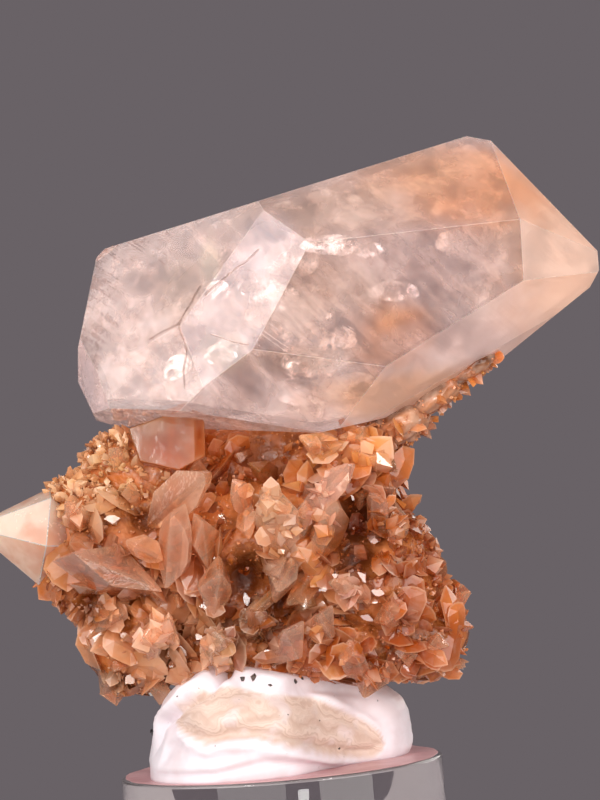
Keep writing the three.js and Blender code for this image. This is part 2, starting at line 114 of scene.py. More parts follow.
def unit(vectors):
    """Each vector divided by its own length."""
    vectors = np.asarray(vectors, dtype=float)
    return vectors / np.linalg.norm(vectors, axis=-1, keepdims=True)


def soft_box(name, place, size, power, colour):
    """A rectangular area light at a place in mm, turned so that its -Z looks at the aim point."""
    data = bpy.data.lights.new(name, "AREA")
    data.shape = "RECTANGLE"
    data.size, data.size_y = size[0] * MM, size[1] * MM
    data.energy = power
    data.color = colour
    lamp = bpy.data.objects.new(name, data)
    scene.collection.objects.link(lamp)
    away = unit(np.array(place) * MM - LIGHT_AIM)
    across = unit(np.cross((0.0, 0.0, 1.0), away))
    matrix = np.eye(4)
    matrix[:3, :3] = np.stack([across, np.cross(away, across), away], axis=1)
    matrix[:3, 3] = np.array(place) * MM
    lamp.matrix_world = Matrix(matrix.tolist())
    lamp.visible_camera = False


for box in SOFT_BOXES:
    soft_box(*box)
print(len(SOFT_BOXES), "lamps, the strongest of", max(box[3] for box in SOFT_BOXES), "W")

world = bpy.data.worlds.new("studio")
world.use_nodes = True
world.node_tree.nodes["Background"].inputs["Color"].default_value = WORLD_GREY
world.node_tree.nodes["Background"].inputs["Strength"].default_value = 1.0
scene.world = world
scene.view_settings.view_transform = "Standard"


# %% [markdown]
# All new pieces are arrays of corners and faces. One helper puts them into a mesh, with one value per
# corner where a material needs to tell the crystals apart.

# %% Mesh helpers
def add_piece(name, corners, faces, smooth=False, **values):
    """A mesh object at the origin from corners in metres and faces; more values or colours are attributes."""
    mesh = bpy.data.meshes.new(name)
    mesh.from_pydata(np.asarray(corners).tolist(), [], [list(map(int, face)) for face in faces])
    for key, column in values.items():
        column = np.asarray(column, dtype=np.float32)
        kind, field = ("FLOAT", "value") if column.ndim == 1 else ("FLOAT_COLOR", "color")
        mesh.attributes.new(key, kind, "POINT").data.foreach_set(field, column.ravel())
    mesh.polygons.foreach_set("use_smooth", [smooth] * len(mesh.polygons))
    mesh.validate()
    mesh.update()
    piece = bpy.data.objects.new(name, mesh)
    scene.collection.objects.link(piece)
    print(name, len(mesh.vertices), "corners", len(mesh.polygons), "faces")
    return piece


def linear(red, green, blue):
    """A screen colour from 0 to 255 as linear values: the power law of the sRGB curve, with alpha 1."""
    share = np.array([red, green, blue]) / 255
    value = np.where(share <= 0.04045, share / 12.92, ((share + 0.055) / 1.055) ** 2.4)
    return (*value.tolist(), 1.0)


def lathe(profile, sides):
    """A profile of (radius, height) turned about Z; the first and last points lie on the axis."""
    profile = np.array(profile, dtype=float)
    turns = np.arange(sides) * 2 * math.pi / sides
    ring = profile[1:-1]
    grid = np.stack([
        ring[:, None, 0] * np.cos(turns), ring[:, None, 0] * np.sin(turns),
        np.repeat(ring[:, None, 1], sides, axis=1)], axis=-1).reshape(-1, 3)
    poles = np.array([[0, 0, profile[0, 1]], [0, 0, profile[-1, 1]]])
    corners = np.concatenate([grid, poles])
    rows, step = len(ring), np.arange(sides)
    after = (step + 1) % sides
    faces = []
    for row in range(rows - 1):
        low, high = row * sides, (row + 1) * sides
        faces += np.stack([low + step, low + after, high + after, high + step], axis=1).tolist()
    first, last = len(grid), len(grid) + 1
    faces += np.stack([after, step, np.full(sides, first)], axis=1).tolist()
    top = (rows - 1) * sides
    faces += np.stack([top + step, top + after, np.full(sides, last)], axis=1).tolist()
    return corners, faces


floor_profile = [(0, -FLOOR_THICK), (FLOOR_RADIUS, -FLOOR_THICK), (FLOOR_RADIUS, 0), (0, 0)]
floor = add_piece("floor", *lathe(floor_profile, FLOOR_SIDES))

# %% [markdown]
# A crystal is the space behind a set of planes. Every three planes meet in one point, and the points that
# lie behind all the other planes are the crystal's corners. numpy solves all the triples at once, and each
# face is then the corners on one plane, in order of their angle about the face's middle.

# %% Flat-faced solids
PARALLEL, BEHIND, TOUCHING = 1e-6, 1e-4, 1e-3


def plane_through(a, b, c, inside):
    """Normal and offset of the plane through three points, its normal turned away from an inside point."""
    normal = unit(np.cross(np.subtract(b, a), np.subtract(c, a)))
    offset = normal @ np.asarray(a, dtype=float)
    return (-normal, -offset) if normal @ inside > offset else (normal, offset)


def plane_along(direction, centre, distance):
    """Normal and offset of the plane that faces along a direction, at a distance from a centre."""
    normal = unit(direction)
    return normal, normal @ np.asarray(centre, dtype=float) + distance


def solid_of(planes, merge=0.02):
    """Corners and outward faces of the space behind all the planes; lengths in mm."""
    normals = np.array([plane[0] for plane in planes])
    offsets = np.array([plane[1] for plane in planes])
    triples = np.array(list(itertools.combinations(range(len(planes)), 3)))
    sets = normals[triples]
    crossing = np.abs(np.linalg.det(sets)) > PARALLEL
    places = np.linalg.solve(sets[crossing], offsets[triples[crossing]][..., None])[..., 0]
    places = places[(places @ normals.T <= offsets + BEHIND).all(axis=1)]
    gaps = np.linalg.norm(places[:, None] - places[None], axis=-1)
    first, index = np.unique((gaps < merge).argmax(axis=1), return_inverse=True)
    corners = places[first]
    faces = []
    for normal, offset in zip(normals, offsets):
        touching = np.unique(index[np.abs(places @ normal - offset) < TOUCHING])
        if len(touching) < 3:
            continue
        ring = corners[touching] - corners[touching].mean(axis=0)
        axis = unit(ring[np.argmax(np.linalg.norm(ring, axis=1))])
        angle = np.arctan2(ring @ np.cross(normal, axis), ring @ axis)
        faces.append(touching[np.argsort(angle)].tolist())
    return corners, faces


def gather(solids):
    """Many (corners, faces) as one, with each solid's number at each of its corners."""
    corners, faces, owner, start = [], [], [], 0
    for number, (points, rings) in enumerate(solids):
        corners.append(points)
        faces += [[start + i for i in ring] for ring in rings]
        owner.append(np.full(len(points), number))
        start += len(points)
    return np.concatenate(corners), faces, np.concatenate(owner)


def with_middles(corners, faces, owner):
    """Each face as a fan about its own middle, with a value that is 1 at the middles and 0 at the corners."""
    middles = np.array([corners[ring].mean(axis=0) for ring in faces])
    fans = [
        [ring[n], ring[(n + 1) % len(ring)], len(corners) + number]
        for number, ring in enumerate(faces) for n in range(len(ring))]
    core = np.repeat([0.0, 1.0], [len(corners), len(faces)])
    owner = np.concatenate([owner, owner[[ring[0] for ring in faces]]])
    return np.concatenate([corners, middles]), fans, owner, core


cube = solid_of([plane_along(way, (0, 0, 0), 1) for way in np.vstack([np.eye(3), -np.eye(3)])])
print("six planes make a cube with", len(cube[0]), "corners and", len(cube[1]), "faces")

# %% [markdown]
# The large crystal is a flattened calcite with a pointed right end. The corners that its front shows were
# read from the front view, in mm, and each face is the plane through three of them. The faces round its rim
# are seen edge-on, so their planes hold the eye. The back repeats the front's faces, reversed. Each face has
# a tone, from dim to clear, which is painted shade or painted sheen for the light that the face catches, and
# a satin, which is added to its roughness.

# %% The large crystal
CREST, HIP = (4.3, -9.1, 105.7), (10.9, -14.0, 100.0)
SHOULDER, SHOULDER_TOP = (43.1, -12.5, 101.0), (40.2, -1.5, 113.6)
WAIST, KNEE = (1.0, -15.5, 84.6), (-7.0, -14.0, 79.5)
LEFT_KNOT, LEFT_HEEL, LEFT_FOOT = (-9.2, -9.5, 89.4), (-23.3, -4.0, 83.1), (-21.7, -6.8, 77.4)
CHIN, CHEEK, KEEL = (20.8, -14.9, 80.3), (43.0, -13.1, 91.7), (15.3, -13.1, 74.0)
TIP_LOW, TIP_HIGH = (54.6, -8.6, 91.8), (54.6, -8.3, 95.4)
MIDDLE = np.array([14.3, 0.0, 92.8])
RIM = [
    (-20.8, 102.1), (36.6, 114.9), (40.3, 113.9), (55.4, 95.5), (55.4, 92.5), (53.8, 90.0), (33.4, 76.1),
    (26.2, 73.2), (10.0, 70.9), (-21.2, 74.5), (-24.3, 75.7), (-26.6, 81.8), (-26.2, 87.1), (-22.2, 100.8),
]
FRONT_FACES = {
    "front": (HIP, SHOULDER, WAIST), "pale": (HIP, WAIST, KNEE), "top": (HIP, SHOULDER, CREST),
    "left": (CREST, LEFT_KNOT, LEFT_HEEL), "left_low": (LEFT_KNOT, LEFT_HEEL, KNEE),
    "low": (WAIST, KNEE, CHIN), "low_right": (CHIN, CHEEK, KEEL), "tip_lower": (SHOULDER, CHEEK, TIP_LOW),
    "tip_upper": (SHOULDER, SHOULDER_TOP, TIP_HIGH), "left_foot": (LEFT_HEEL, LEFT_FOOT, (-26.5, 2.0, 84.3)),
    "right_rim": ((22.5, -10.6, 74.5), (38.2, -8.9, 81.8), (33.4, 1.0, 76.1)),
    "under": (LEFT_FOOT, (5.6, -12.5, 72.3), (-23.4, 6.0, 75.0)),
}
# A face's tone is painted light: a low tone paints shade, the highest paints a sheen. Satin is roughness.
FACE_PAINTED_LIGHT_AND_SATIN = {
    "front": (0.3, 0.0), "pale": (1.0, 0.06), "top": (0.3, 0.12), "left": (0.5, 0.0), "left_low": (0.84, 0.05),
    "low": (0.42, 0.0), "low_right": (0.8, 0.42), "tip_lower": (0.6, 0.3), "tip_upper": (0.9, 0.4),
    "left_foot": (0.0, 0.2), "right_rim": (0.9, 0.3), "under": (0.3, 0.0),
}
BACK_DEPTH = {"front": 14, "top": 20, "left": 31, "left_low": 22, "low_right": 25, "tip_upper": 36}
EYE_MM = np.array([7.5, -620.0, 81.6])
PLAIN_LIGHT_AND_SATIN = (0.5, 0.0)


def large_crystal_planes():
    """The front faces through their corners, the rim faces through the eye, and the back faces reversed."""
    front = {name: plane_through(*corners, MIDDLE) for name, corners in FRONT_FACES.items()}
    rim = [
        plane_through(EYE_MM, (x, 0, z), (next_x, 0, next_z), MIDDLE)
        for (x, z), (next_x, next_z) in zip(RIM, RIM[1:] + RIM[:1])]
    behind = [plane_along(-front[name][0], MIDDLE, depth) for name, depth in BACK_DEPTH.items()]
    return list(front.values()) + rim + behind


crystal_planes = large_crystal_planes()
crystal_corners, crystal_faces = solid_of(crystal_planes)
large = add_piece("large_crystal", crystal_corners * MM, crystal_faces, smooth=True)


def face_painted_light_and_satin(corners, faces):
    """Each face's tone, which is painted shade or sheen, and its satin: those of the named face whose
    plane it lies on, or else the plain look.
    """
    middles = np.array([corners[ring].mean(axis=0) for ring in faces])
    looks = np.tile(PLAIN_LIGHT_AND_SATIN, (len(faces), 1))
    for name, look in FACE_PAINTED_LIGHT_AND_SATIN.items():
        normal, offset = plane_through(*FRONT_FACES[name], MIDDLE)
        looks[np.abs(middles @ normal - offset) < 10 * TOUCHING] = look
    return looks


for key, column in zip(("tone", "satin"), face_painted_light_and_satin(crystal_corners, crystal_faces).T):
    layer = large.data.attributes.new(key, "FLOAT", "FACE")
    layer.data.foreach_set("value", column.astype(np.float32))
print("large crystal from", crystal_corners.min(axis=0).round(1), "to", crystal_corners.max(axis=0).round(1))

# %% [markdown]
# The pale point at the left end is a dogtooth: six steep faces run to its tip, and six more taper the other
# way inside the druse.

# %% The point crystal
POINT_TIP, POINT_BACK_TIP, POINT_ROOT = (-45.0, -3.0, 60.8), (-22.5, 0.0, 56.0), (-28.0, -1.0, 58.0)
POINT_SLOPE, POINT_FLATNESS = 0.6, 0.85
POINT_TURNS = np.radians([12, 66, 128, 192, 246, 308])


def point_crystal_planes():
    """Faces about the long axis, each leaning by the slope, which is less across the flat way."""
    along = unit(np.subtract(POINT_TIP, POINT_BACK_TIP))
    depth = unit(np.array([0.0, 1.0, 0.0]) - along[1] * along)
    height = np.cross(along, depth)
    planes = [plane_along(-along, POINT_ROOT, 0)]
    for angle in POINT_TURNS:
        slope = POINT_SLOPE / math.hypot(math.cos(angle), math.sin(angle) / POINT_FLATNESS)
        outward = height * math.cos(angle) + depth * math.sin(angle)
        planes.append(plane_along(outward + along * slope, POINT_TIP, 0))
        planes.append(plane_along(outward - along * slope, POINT_BACK_TIP, 0))
    return planes


point_planes = point_crystal_planes()
point_corners, point_faces = solid_of(point_planes)
point = add_piece("pale_point", point_corners * MM, point_faces, smooth=True)

# %% [markdown]
# A small calcite here is a flattened blade: four broad faces that meet in a low ridge, two sides, and two
# steep faces at each end. Its root sits in the rock and its tip stands out. The ones that make the front's
# look are listed one by one, by root, tip, width and thickness in mm.

# %% Blades that stand out on the front
UP_RIGHT, DOWN, FACE_FRONT = (0.2, -1, 0.4), (0.1, -1, -0.3), (0, -1, 0)
SIDE_LEFT, SIDE_RIGHT = (-0.5, -1, 0.1), (0.4, -1, 0.1)
FRONT_BLADES = [
    ((-16.5, -8, 49.9), (-30.1, -15, 57.7), 9.5, 7, (-0.2, -1, 0.5)),
    ((-17.4, -11, 59.5), (-7.5, -15, 67.4), 7, 3.2, UP_RIGHT),
    ((-14.3, -11, 49.7), (-12.2, -17, 61.9), 5.4, 4, SIDE_LEFT),
    ((-15.6, -13, 54.5), (-19.7, -18, 57.3), 3.6, 2.4, FACE_FRONT),
    ((-7.9, -12, 52.3), (-8.1, -16, 60.6), 6, 3, SIDE_RIGHT),
    ((-9.4, -12, 45.4), (-7.5, -17, 53), 7.6, 5, DOWN),
    ((-1.9, -12, 59.6), (-3.1, -17, 65), 3.8, 2, (0.3, -1, 0.3)),
    ((-1.9, -12, 61.4), (-2.6, -17, 56.4), 3.8, 2, (-0.3, -1, -0.2)),
    ((3.1, -12, 52.3), (2.5, -18, 63.5), 6.4, 4.5, (-0.3, -1, 0.2)),
    ((4.5, -12, 54.5), (7.1, -16, 60.5), 4.6, 3, (0.5, -1, 0)),
    ((6, -13, 57.8), (14.6, -17, 66.4), 4.6, 2.4, (-0.2, -1, 0.3)),
    ((8.3, -11, 52.2), (12.3, -16, 60.8), 5, 3.4, (0.4, -1, -0.1)),
    ((4.1, -12, 53.4), (0.2, -17, 47.3), 6.4, 3.4, (-0.2, -1, -0.2)),
    ((10.7, -10, 51.6), (3, -15, 44.5), 5.2, 2.6, (0.3, -1, 0.3)),
    ((2.8, -12, 48.5), (-3.9, -15, 43.5), 1.8, 4, FACE_FRONT),
    ((17.2, -11, 45.6), (10.4, -16, 49.2), 6, 3.6, (0.1, -1, 0.3)),
    ((17.9, -10, 54.1), (18.2, -15, 62.1), 3.4, 2.2, (-0.6, -1, 0)),
    ((21.1, -8, 58.6), (20.2, -14, 53.4), 3.6, 3, FACE_FRONT),
    ((19.4, -10, 50.6), (16.9, -15, 50.3), 2.6, 2, FACE_FRONT),
    ((22, -10, 44.9), (16.5, -15, 41.8), 5, 2.6, (0.2, -1, -0.4)),
    ((1.7, -12, 36.1), (4.4, -18, 42), 5.2, 4.2, (-0.5, -1, 0.2)),
    ((13.1, -12, 33.6), (11.6, -18, 38.5), 3.8, 3.2, FACE_FRONT),
    ((-7.6, -12, 36.8), (-8, -18, 42.5), 4.8, 3.6, (0.3, -1, 0.3)),
    ((-17.9, -9, 38.7), (-18.7, -15, 42.9), 3.6, 2.6, (-0.4, -1, 0)),
    ((-23.2, -2, 37.9), (-27.1, -6, 34.7), 4.2, 3, (-0.2, -1, 0.2)),
    ((13.9, -7, 67.8), (6.9, -13, 69.4), 5, 3, (0, -1, -0.4)),
    ((18, -5, 69.2), (14.6, -12, 69.6), 5, 4, FACE_FRONT),
    ((19.9, -6, 65.7), (17.1, -13, 67), 5, 4.2, FACE_FRONT),
    ((3, -2, 64.2), (0, -11, 67.1), 3.2, 2.4, FACE_FRONT),
    ((-26.1, -7, 59.4), (-29.6, -11, 62.8), 3.8, 2.8, FACE_FRONT),
    ((26.5, 0, 50.4), (26.7, -5, 46.9), 2.8, 2, FACE_FRONT),
    ((26.1, -1, 40.2), (30.7, -6, 39.2), 2.4, 2, FACE_FRONT),
    ((-22.2, -6, 48.6), (-26.6, -12, 45.2), 5.4, 4, (-0.4, -1, -0.2)),
    ((0.8, -12, 53.7), (3.5, -17, 49.7), 5, 3, FACE_FRONT),
    ((16.6, -7, 63.6), (15.6, -13, 59.5), 4.8, 2.4, FACE_FRONT),
    ((-3.1, -11, 40.6), (-0.8, -16, 45.8), 5.5, 3.6, (0.4, -1, 0.2)),
    ((7.1, -12, 38.4), (9.4, -17, 44.1), 5.5, 3.6, (-0.4, -1, 0.1)),
    ((15.8, -6, 36.4), (14.8, -15, 31.6), 5, 3.6, FACE_FRONT),
    ((-18.1, -8, 44.7), (-14.3, -14, 41.6), 5, 3, (0.3, -1, -0.3)),
]
print(len(FRONT_BLADES), "front blades")

# %% [markdown]
# No two blades are quite alike. How steep the ridge is, how sharp the ends taper and how far the ridge lies to
# one side come from the blade's number. A few more planes round off its outline.

# %% The shape of a blade
RIDGES, TAPERS, SKEWS = (10, 24), (30, 48), (-0.45, 0.45)
RIDGE_STEP, TAPER_STEP, SKEW_STEP = 0.382, 0.618, 0.755
RIDGE_MORE, OUTLINE_ROUNDING = 9, 0.12


def varied_form(number):
    """Ridge, taper and skew of a blade: multiples of an irrational step spread evenly over each range."""
    pairs = ((RIDGES, RIDGE_STEP), (TAPERS, TAPER_STEP), (SKEWS, SKEW_STEP))
    return [low + (high - low) * (number * step % 1) for (low, high), step in pairs]


def blade_planes(root, tip, wide, thick, facing, ridge=16, taper=40, skew=0.0, rounding=0.0):
    """Ten planes about the middle of root and tip: sides, ridged broad faces and steep ends. With a rounding,
    more planes cut the outline's corners by that share of the width."""
    root, tip, facing = (np.array(place, dtype=float) for place in (root, tip, facing))
    along, centre, half = unit(tip - root), (root + tip) / 2, np.linalg.norm(tip - root) / 2
    broad = unit(facing - along * (along @ facing))
    side = np.cross(along, broad)
    ridge_centre = centre + side * skew * wide / 2
    lean, slope = math.radians(ridge), math.radians(taper)
    ends = [(slope, ridge_centre, half * math.sin(slope))]
    if rounding:
        cut, blunt, shoulder = rounding * wide / 2, (slope + math.pi / 2) / 2, slope / 2
        straight = max(half - wide / 2 / math.tan(slope), 0)
        corner = wide / 2 * math.cos(shoulder) + straight * math.sin(shoulder)
        ends += [(blunt, ridge_centre, half * math.sin(blunt) - cut), (shoulder, centre, corner - cut)]
    planes = []
    for sign in (-1, 1):
        planes.append(plane_along(side * sign, centre, wide / 2))
        for turn in (-1, 1):
            broad_face = broad * turn * math.cos(lean) + side * sign * math.sin(lean)
            planes.append(plane_along(broad_face, ridge_centre, thick / 2 * math.cos(lean)))
            for angle, middle, distance in ends:
                end_face = side * turn * math.cos(angle) + along * sign * math.sin(angle)
                planes.append(plane_along(end_face, middle, distance))
    return planes


def small_crystal(number, blade):
    """A blade in its varied form, but with a sharper ridge and a rounder outline than its packed stand-in."""
    ridge, taper, skew = varied_form(number)
    return solid_of(blade_planes(*blade, ridge + RIDGE_MORE, taper, skew, OUTLINE_ROUNDING))


front_planes = [
    blade_planes(*blade, *varied_form(number), OUTLINE_ROUNDING) for number, blade in enumerate(FRONT_BLADES)]
front_solids = [small_crystal(number, blade) for number, blade in enumerate(FRONT_BLADES)]
print("a front blade has", len(front_solids[0][1]), "faces")

# %% [markdown]
# Under the large crystal hangs one block-shaped crystal. It is a blade with a low ridge and blunt ends, and two
# more planes cut its lower corners. Its colour is deep orange at the right and brown at the left, and paler at
# its edges, where the light gets through. So each face gets a middle corner, for the colour to change towards.

# %% The block under the large crystal
UNDER_BLOCK = ((-13.7, -2.5, 76), (-14.3, -5, 65.6), 12.8, 9, FACE_FRONT)
BLOCK_RIDGE, BLOCK_TAPER, BLOCK_SKEW = 8, 74, -0.75
BLOCK_CUTS = [((-0.965, 0.0, -0.262), (-17.4, -8.0, 67.3)), ((0.406, 0.0, -0.914), (-13.7, -8.0, 66.2))]
BLOCK_WARM, BLOCK_FADE, BLOCK_EDGE_GLOW_SHARE = (-9.0, -6.0, 66.0), 12, 0.3
BLOCK_ORANGE, BLOCK_BROWN, BLOCK_EDGE_GLOW = (
    np.array(linear(*tone)) for tone in ((208, 88, 14), (132, 72, 28), (240, 176, 120)))

block_planes = blade_planes(*UNDER_BLOCK, BLOCK_RIDGE, BLOCK_TAPER, BLOCK_SKEW)
block_planes += [plane_along(face, place, 0) for face, place in BLOCK_CUTS]
block_corners, block_faces, _, block_core = with_middles(*gather([solid_of(block_planes)]))
block_cool = np.clip(np.linalg.norm(block_corners - BLOCK_WARM, axis=1) / BLOCK_FADE, 0, 1)[:, None]
block_stain = BLOCK_ORANGE * (1 - block_cool) + BLOCK_BROWN * block_cool
# Painted glow: the block's edges are painted paler, where the light gets through.
block_stain += (BLOCK_EDGE_GLOW - block_stain) * (BLOCK_EDGE_GLOW_SHARE * (1 - block_core))[:, None]
block = add_piece("under_block", block_corners * MM, block_faces, smooth=True, stain=block_stain)

# %% [markdown]
# The rock under them is a heap of craggy lumps. Each lump is an ellipsoid grid whose radius is shaken by
# smooth random waves, so that its surface is broken up at several scales.

# %% Rock lumps
ROCK_LUMPS = [
    ((0, 0.5, 52), (22, 14.5, 15), 0, 11), ((-21, 1, 55), (15, 12.5, 12), 20, 12),
    ((-17, 2, 65), (11, 9, 8), -30, 13), ((-26, 0, 61), (8, 8, 5), -35, 19),
    ((-19, 0, 42), (11, 10, 8.5), 35, 14), ((17, -1, 47), (10.5, 13, 14), 14, 15),
    ((4, 0, 38.5), (26, 14.5, 7.5), -2, 16), ((22.5, -0.5, 38), (8.5, 10.5, 6), 0, 20),
    ((15, -1, 62), (7, 10.5, 11), -6, 17), ((2, 5, 66), (17, 9, 8), 0, 18),
]
CRUST_LUMPS = [
    ((22.5, -2, 71.5), (5, 7, 3.6), 20, 31), ((28.5, -4, 75.2), (5, 4.6, 2.2), 30, 32),
    ((34.5, -5, 79.2), (4.6, 3.4, 1.6), 32, 33),
]
LUMP_ROWS, LUMP_SIDES = 40, 64
COARSE_WAVE, FINE_WAVE, FINE_SEED_STEP = 9.0, 2.5, 50


def tilt_matrix(degrees):
    """A turn about Y that leans a lump's bottom to the right."""
    angle = math.radians(-degrees)
    return np.array([
        [math.cos(angle), 0, math.sin(angle)], [0, 1, 0], [-math.sin(angle), 0, math.cos(angle)]])


def waves(places, seed, scale, layers=4):
    """Smooth noise from sums of sine waves in random directions, finer and weaker layer by layer."""
    random = np.random.default_rng(seed)
    total = np.zeros(places.shape[:-1])
    for layer in range(layers):
        for _ in range(4):
            direction = unit(random.normal(size=3)) * 2 * math.pi / scale * 1.9 ** layer
            total += np.sin(places @ direction + random.uniform(0, 2 * math.pi)) * 0.5 ** layer / 4
    return total


def ball_grid(rows, sides):
    """Unit directions on a sphere: a half circle turned about Z, with one point at each pole."""
    polar = np.linspace(0, math.pi, rows + 1)[1:-1]
    profile = np.concatenate([[[0, 1]], np.stack([np.sin(polar), np.cos(polar)], axis=1), [[0, -1]]])
    return lathe(profile[::-1], sides)


def rock_lump(centre, half, tilt, seed, shrink=0.93, rough=0.055):
    """Ball directions times the half sizes and a wavy radius, then tilted and moved to the centre."""
    directions, faces = ball_grid(LUMP_ROWS, LUMP_SIDES)
    places = directions * np.array(half)
    fine_waves = waves(places, seed + FINE_SEED_STEP, FINE_WAVE)
    reach = shrink + rough * waves(places, seed, COARSE_WAVE) + 0.5 * rough * fine_waves
    return (places * reach[:, None]) @ tilt_matrix(tilt).T + np.array(centre), faces


print(len(ROCK_LUMPS), "lumps of rock and", len(CRUST_LUMPS), "of crust")

# %% [markdown]
# Two measures are needed again and again: how far a place lies outside the rock, and how deep it lies in one of
# the hollows of the front. The rock is pushed back in the hollows, which turns them into dark recesses, and
# colours there are darkened as painted shade.

# %% The rock and its hollows
HOLLOWS = [
    ((-3.0, -13.0, 50.0), 3.6), ((14.2, -14.0, 56.5), 4.4), ((14.0, -14.0, 51.5), 3.4),
    ((1.6, -9.0, 68.0), 4.2), ((2.4, -14.0, 45.5), 2.6), ((-27.0, -11.0, 47.0), 2.8),
    ((-17.5, -12.0, 60.0), 2.2), ((-6.0, -9.0, 66.5), 2.4),
]
HOLLOW_PUSH, HOLLOW_REACH = 4.5, 1.35


def depth_in(places, lump):
    """Distance from a lump's centre over its ellipsoid's reach: under 1 inside, over 1 outside."""
    centre, half, tilt, _ = lump
    return np.linalg.norm((places - np.array(centre)) @ tilt_matrix(tilt) / np.array(half), axis=-1)


def rise_over_rock(places):
    """Roughly how many mm a place lies outside the nearest lump; negative inside."""
    lumps = ROCK_LUMPS + CRUST_LUMPS
    sizes = [float(np.prod(lump[1])) ** (1 / 3) for lump in lumps]
    return np.min([(depth_in(places, lump) - 1) * size for lump, size in zip(lumps, sizes)], axis=0)


def deepness(places):
    """1 in the middle of a hollow of the front and 0 outside all of them; depth counts half."""
    return np.max([
        np.clip(HOLLOW_REACH - np.linalg.norm((places - centre) * np.array([1, 0.5, 1]), axis=1) / radius, 0, 1)
        for centre, radius in HOLLOWS], axis=0)


rock_corners, rock_faces, _ = gather([rock_lump(*lump) for lump in ROCK_LUMPS])
rock_deep = deepness(rock_corners)
rock_corners[:, 1] += HOLLOW_PUSH * rock_deep * (rock_corners[:, 1] < 0)
rock = add_piece("matrix_rock", rock_corners * MM, rock_faces, smooth=True, deep=rock_deep)
crust_corners, crust_faces, _ = gather([rock_lump(*lump, shrink=0.98, rough=0.12) for lump in CRUST_LUMPS])

# %% [markdown]
# Every druse crystal carries its own colour, with iron stains: a tint picked for the crystal, then broad
# zones that follow the specimen (cream at the upper left, orange on the right), then a deeper orange towards
# its root. Brown in the hollows is painted shade, pale outlines are a painted glow, and some violet-grey tints
# are partly a painted sheen. The corners get it as a colour attribute, and the faces blend between them.

# %% Colours of the druse
# The violet-grey tints are partly the crystals' own colour and partly a painted sheen.
DRUSE_TINTS_AND_SHEEN = [
    (0.0, (248, 152, 76)), (0.25, (250, 182, 116)), (0.5, (240, 178, 144)), (0.62, (206, 158, 146)),
    (0.78, (214, 164, 148)), (0.88, (255, 196, 120)), (1.0, (244, 148, 68)),
]
DRUSE_ZONES = [
    ((-25.1, -9.0, 67.0), 10.0, (1.4, 1.3, 0.9), (255, 228, 194), 0.95),
    ((-31.0, -6.0, 60.0), 7.0, (1.0, 1.3, 0.9), (255, 204, 160), 0.6),
    ((-24.0, -14.0, 54.3), 8.0, (1.3, 1.0, 0.7), (206, 138, 110), 0.75),
    ((-16.0, -15.0, 56.0), 3.6, (0.8, 1.4, 1.6), (244, 160, 82), 0.6),
    ((-13.7, -13.0, 64.0), 5.0, (1.3, 1.2, 0.9), (226, 178, 152), 0.6),
    ((-8.5, -14.0, 49.0), 5.5, (1.0, 1.2, 1.0), (196, 112, 58), 0.75),
    ((-5.5, -5.0, 70.0), 5.5, (1.0, 1.2, 1.0), (226, 132, 54), 0.8),
    ((2.2, -16.0, 60.5), 5.0, (0.8, 1.4, 1.2), (240, 202, 160), 0.75),
    ((1.1, -15.0, 50.6), 4.0, (1.1, 1.2, 0.8), (176, 136, 124), 0.8),
    ((2.3, -12.0, 66.0), 3.6, (1.0, 1.2, 0.8), (250, 196, 130), 0.7),
    ((10.1, -15.0, 62.5), 4.5, (1.0, 1.2, 1.1), (240, 196, 176), 0.7),
    ((19.5, -13.0, 57.5), 6.0, (0.9, 1.2, 1.1), (206, 116, 46), 0.8),
    ((-10.5, -15.0, 59.0), 6.0, (1.0, 1.2, 1.2), (200, 128, 82), 0.5),
    ((22.0, -10.0, 47.5), 8.5, (0.9, 1.3, 0.9), (206, 106, 14), 0.95),
    ((14.5, -15.0, 46.9), 4.5, (1.1, 1.2, 0.8), (214, 166, 150), 0.65),
    ((29.0, -4.0, 40.5), 7.0, (0.9, 1.4, 1.3), (236, 150, 78), 0.75),
    ((-2.5, -13.0, 42.0), 6.5, (1.5, 1.2, 0.8), (124, 62, 24), 0.9),
    ((-20.0, -10.0, 39.5), 9.0, (1.4, 1.3, 0.9), (255, 206, 170), 0.85),
    ((-30.0, -8.0, 48.0), 6.0, (0.8, 1.4, 1.1), (206, 138, 92), 0.6),
    ((16.0, -10.0, 36.0), 8.0, (1.6, 1.3, 0.8), (198, 98, 20), 0.9),
    ((13.0, -8.0, 69.0), 6.0, (1.4, 1.2, 0.6), (255, 190, 104), 0.75),
    ((3.0, -15.0, 39.0), 3.0, (1.0, 1.5, 1.0), (220, 176, 166), 0.8),
    ((-25.2, -4.0, 36.3), 2.6, (1.0, 2.0, 1.0), (188, 184, 188), 0.9),
]
PAINTED_EDGE_GLOW, EDGE_GLOW_SHARE = linear(255, 224, 196), 0.55
ROOT_DEPTH, HOLLOW_SHADE = np.array([0.62, 0.38, 0.2, 1.0]), np.array([0.42, 0.21, 0.08, 1.0])
ZONE_RAGGED, BURIED_FROM, BURIED_FADE, SHADED_FROM, SHADED_FADE = 0.3, -1.5, 4.0, -16.5, 2.5


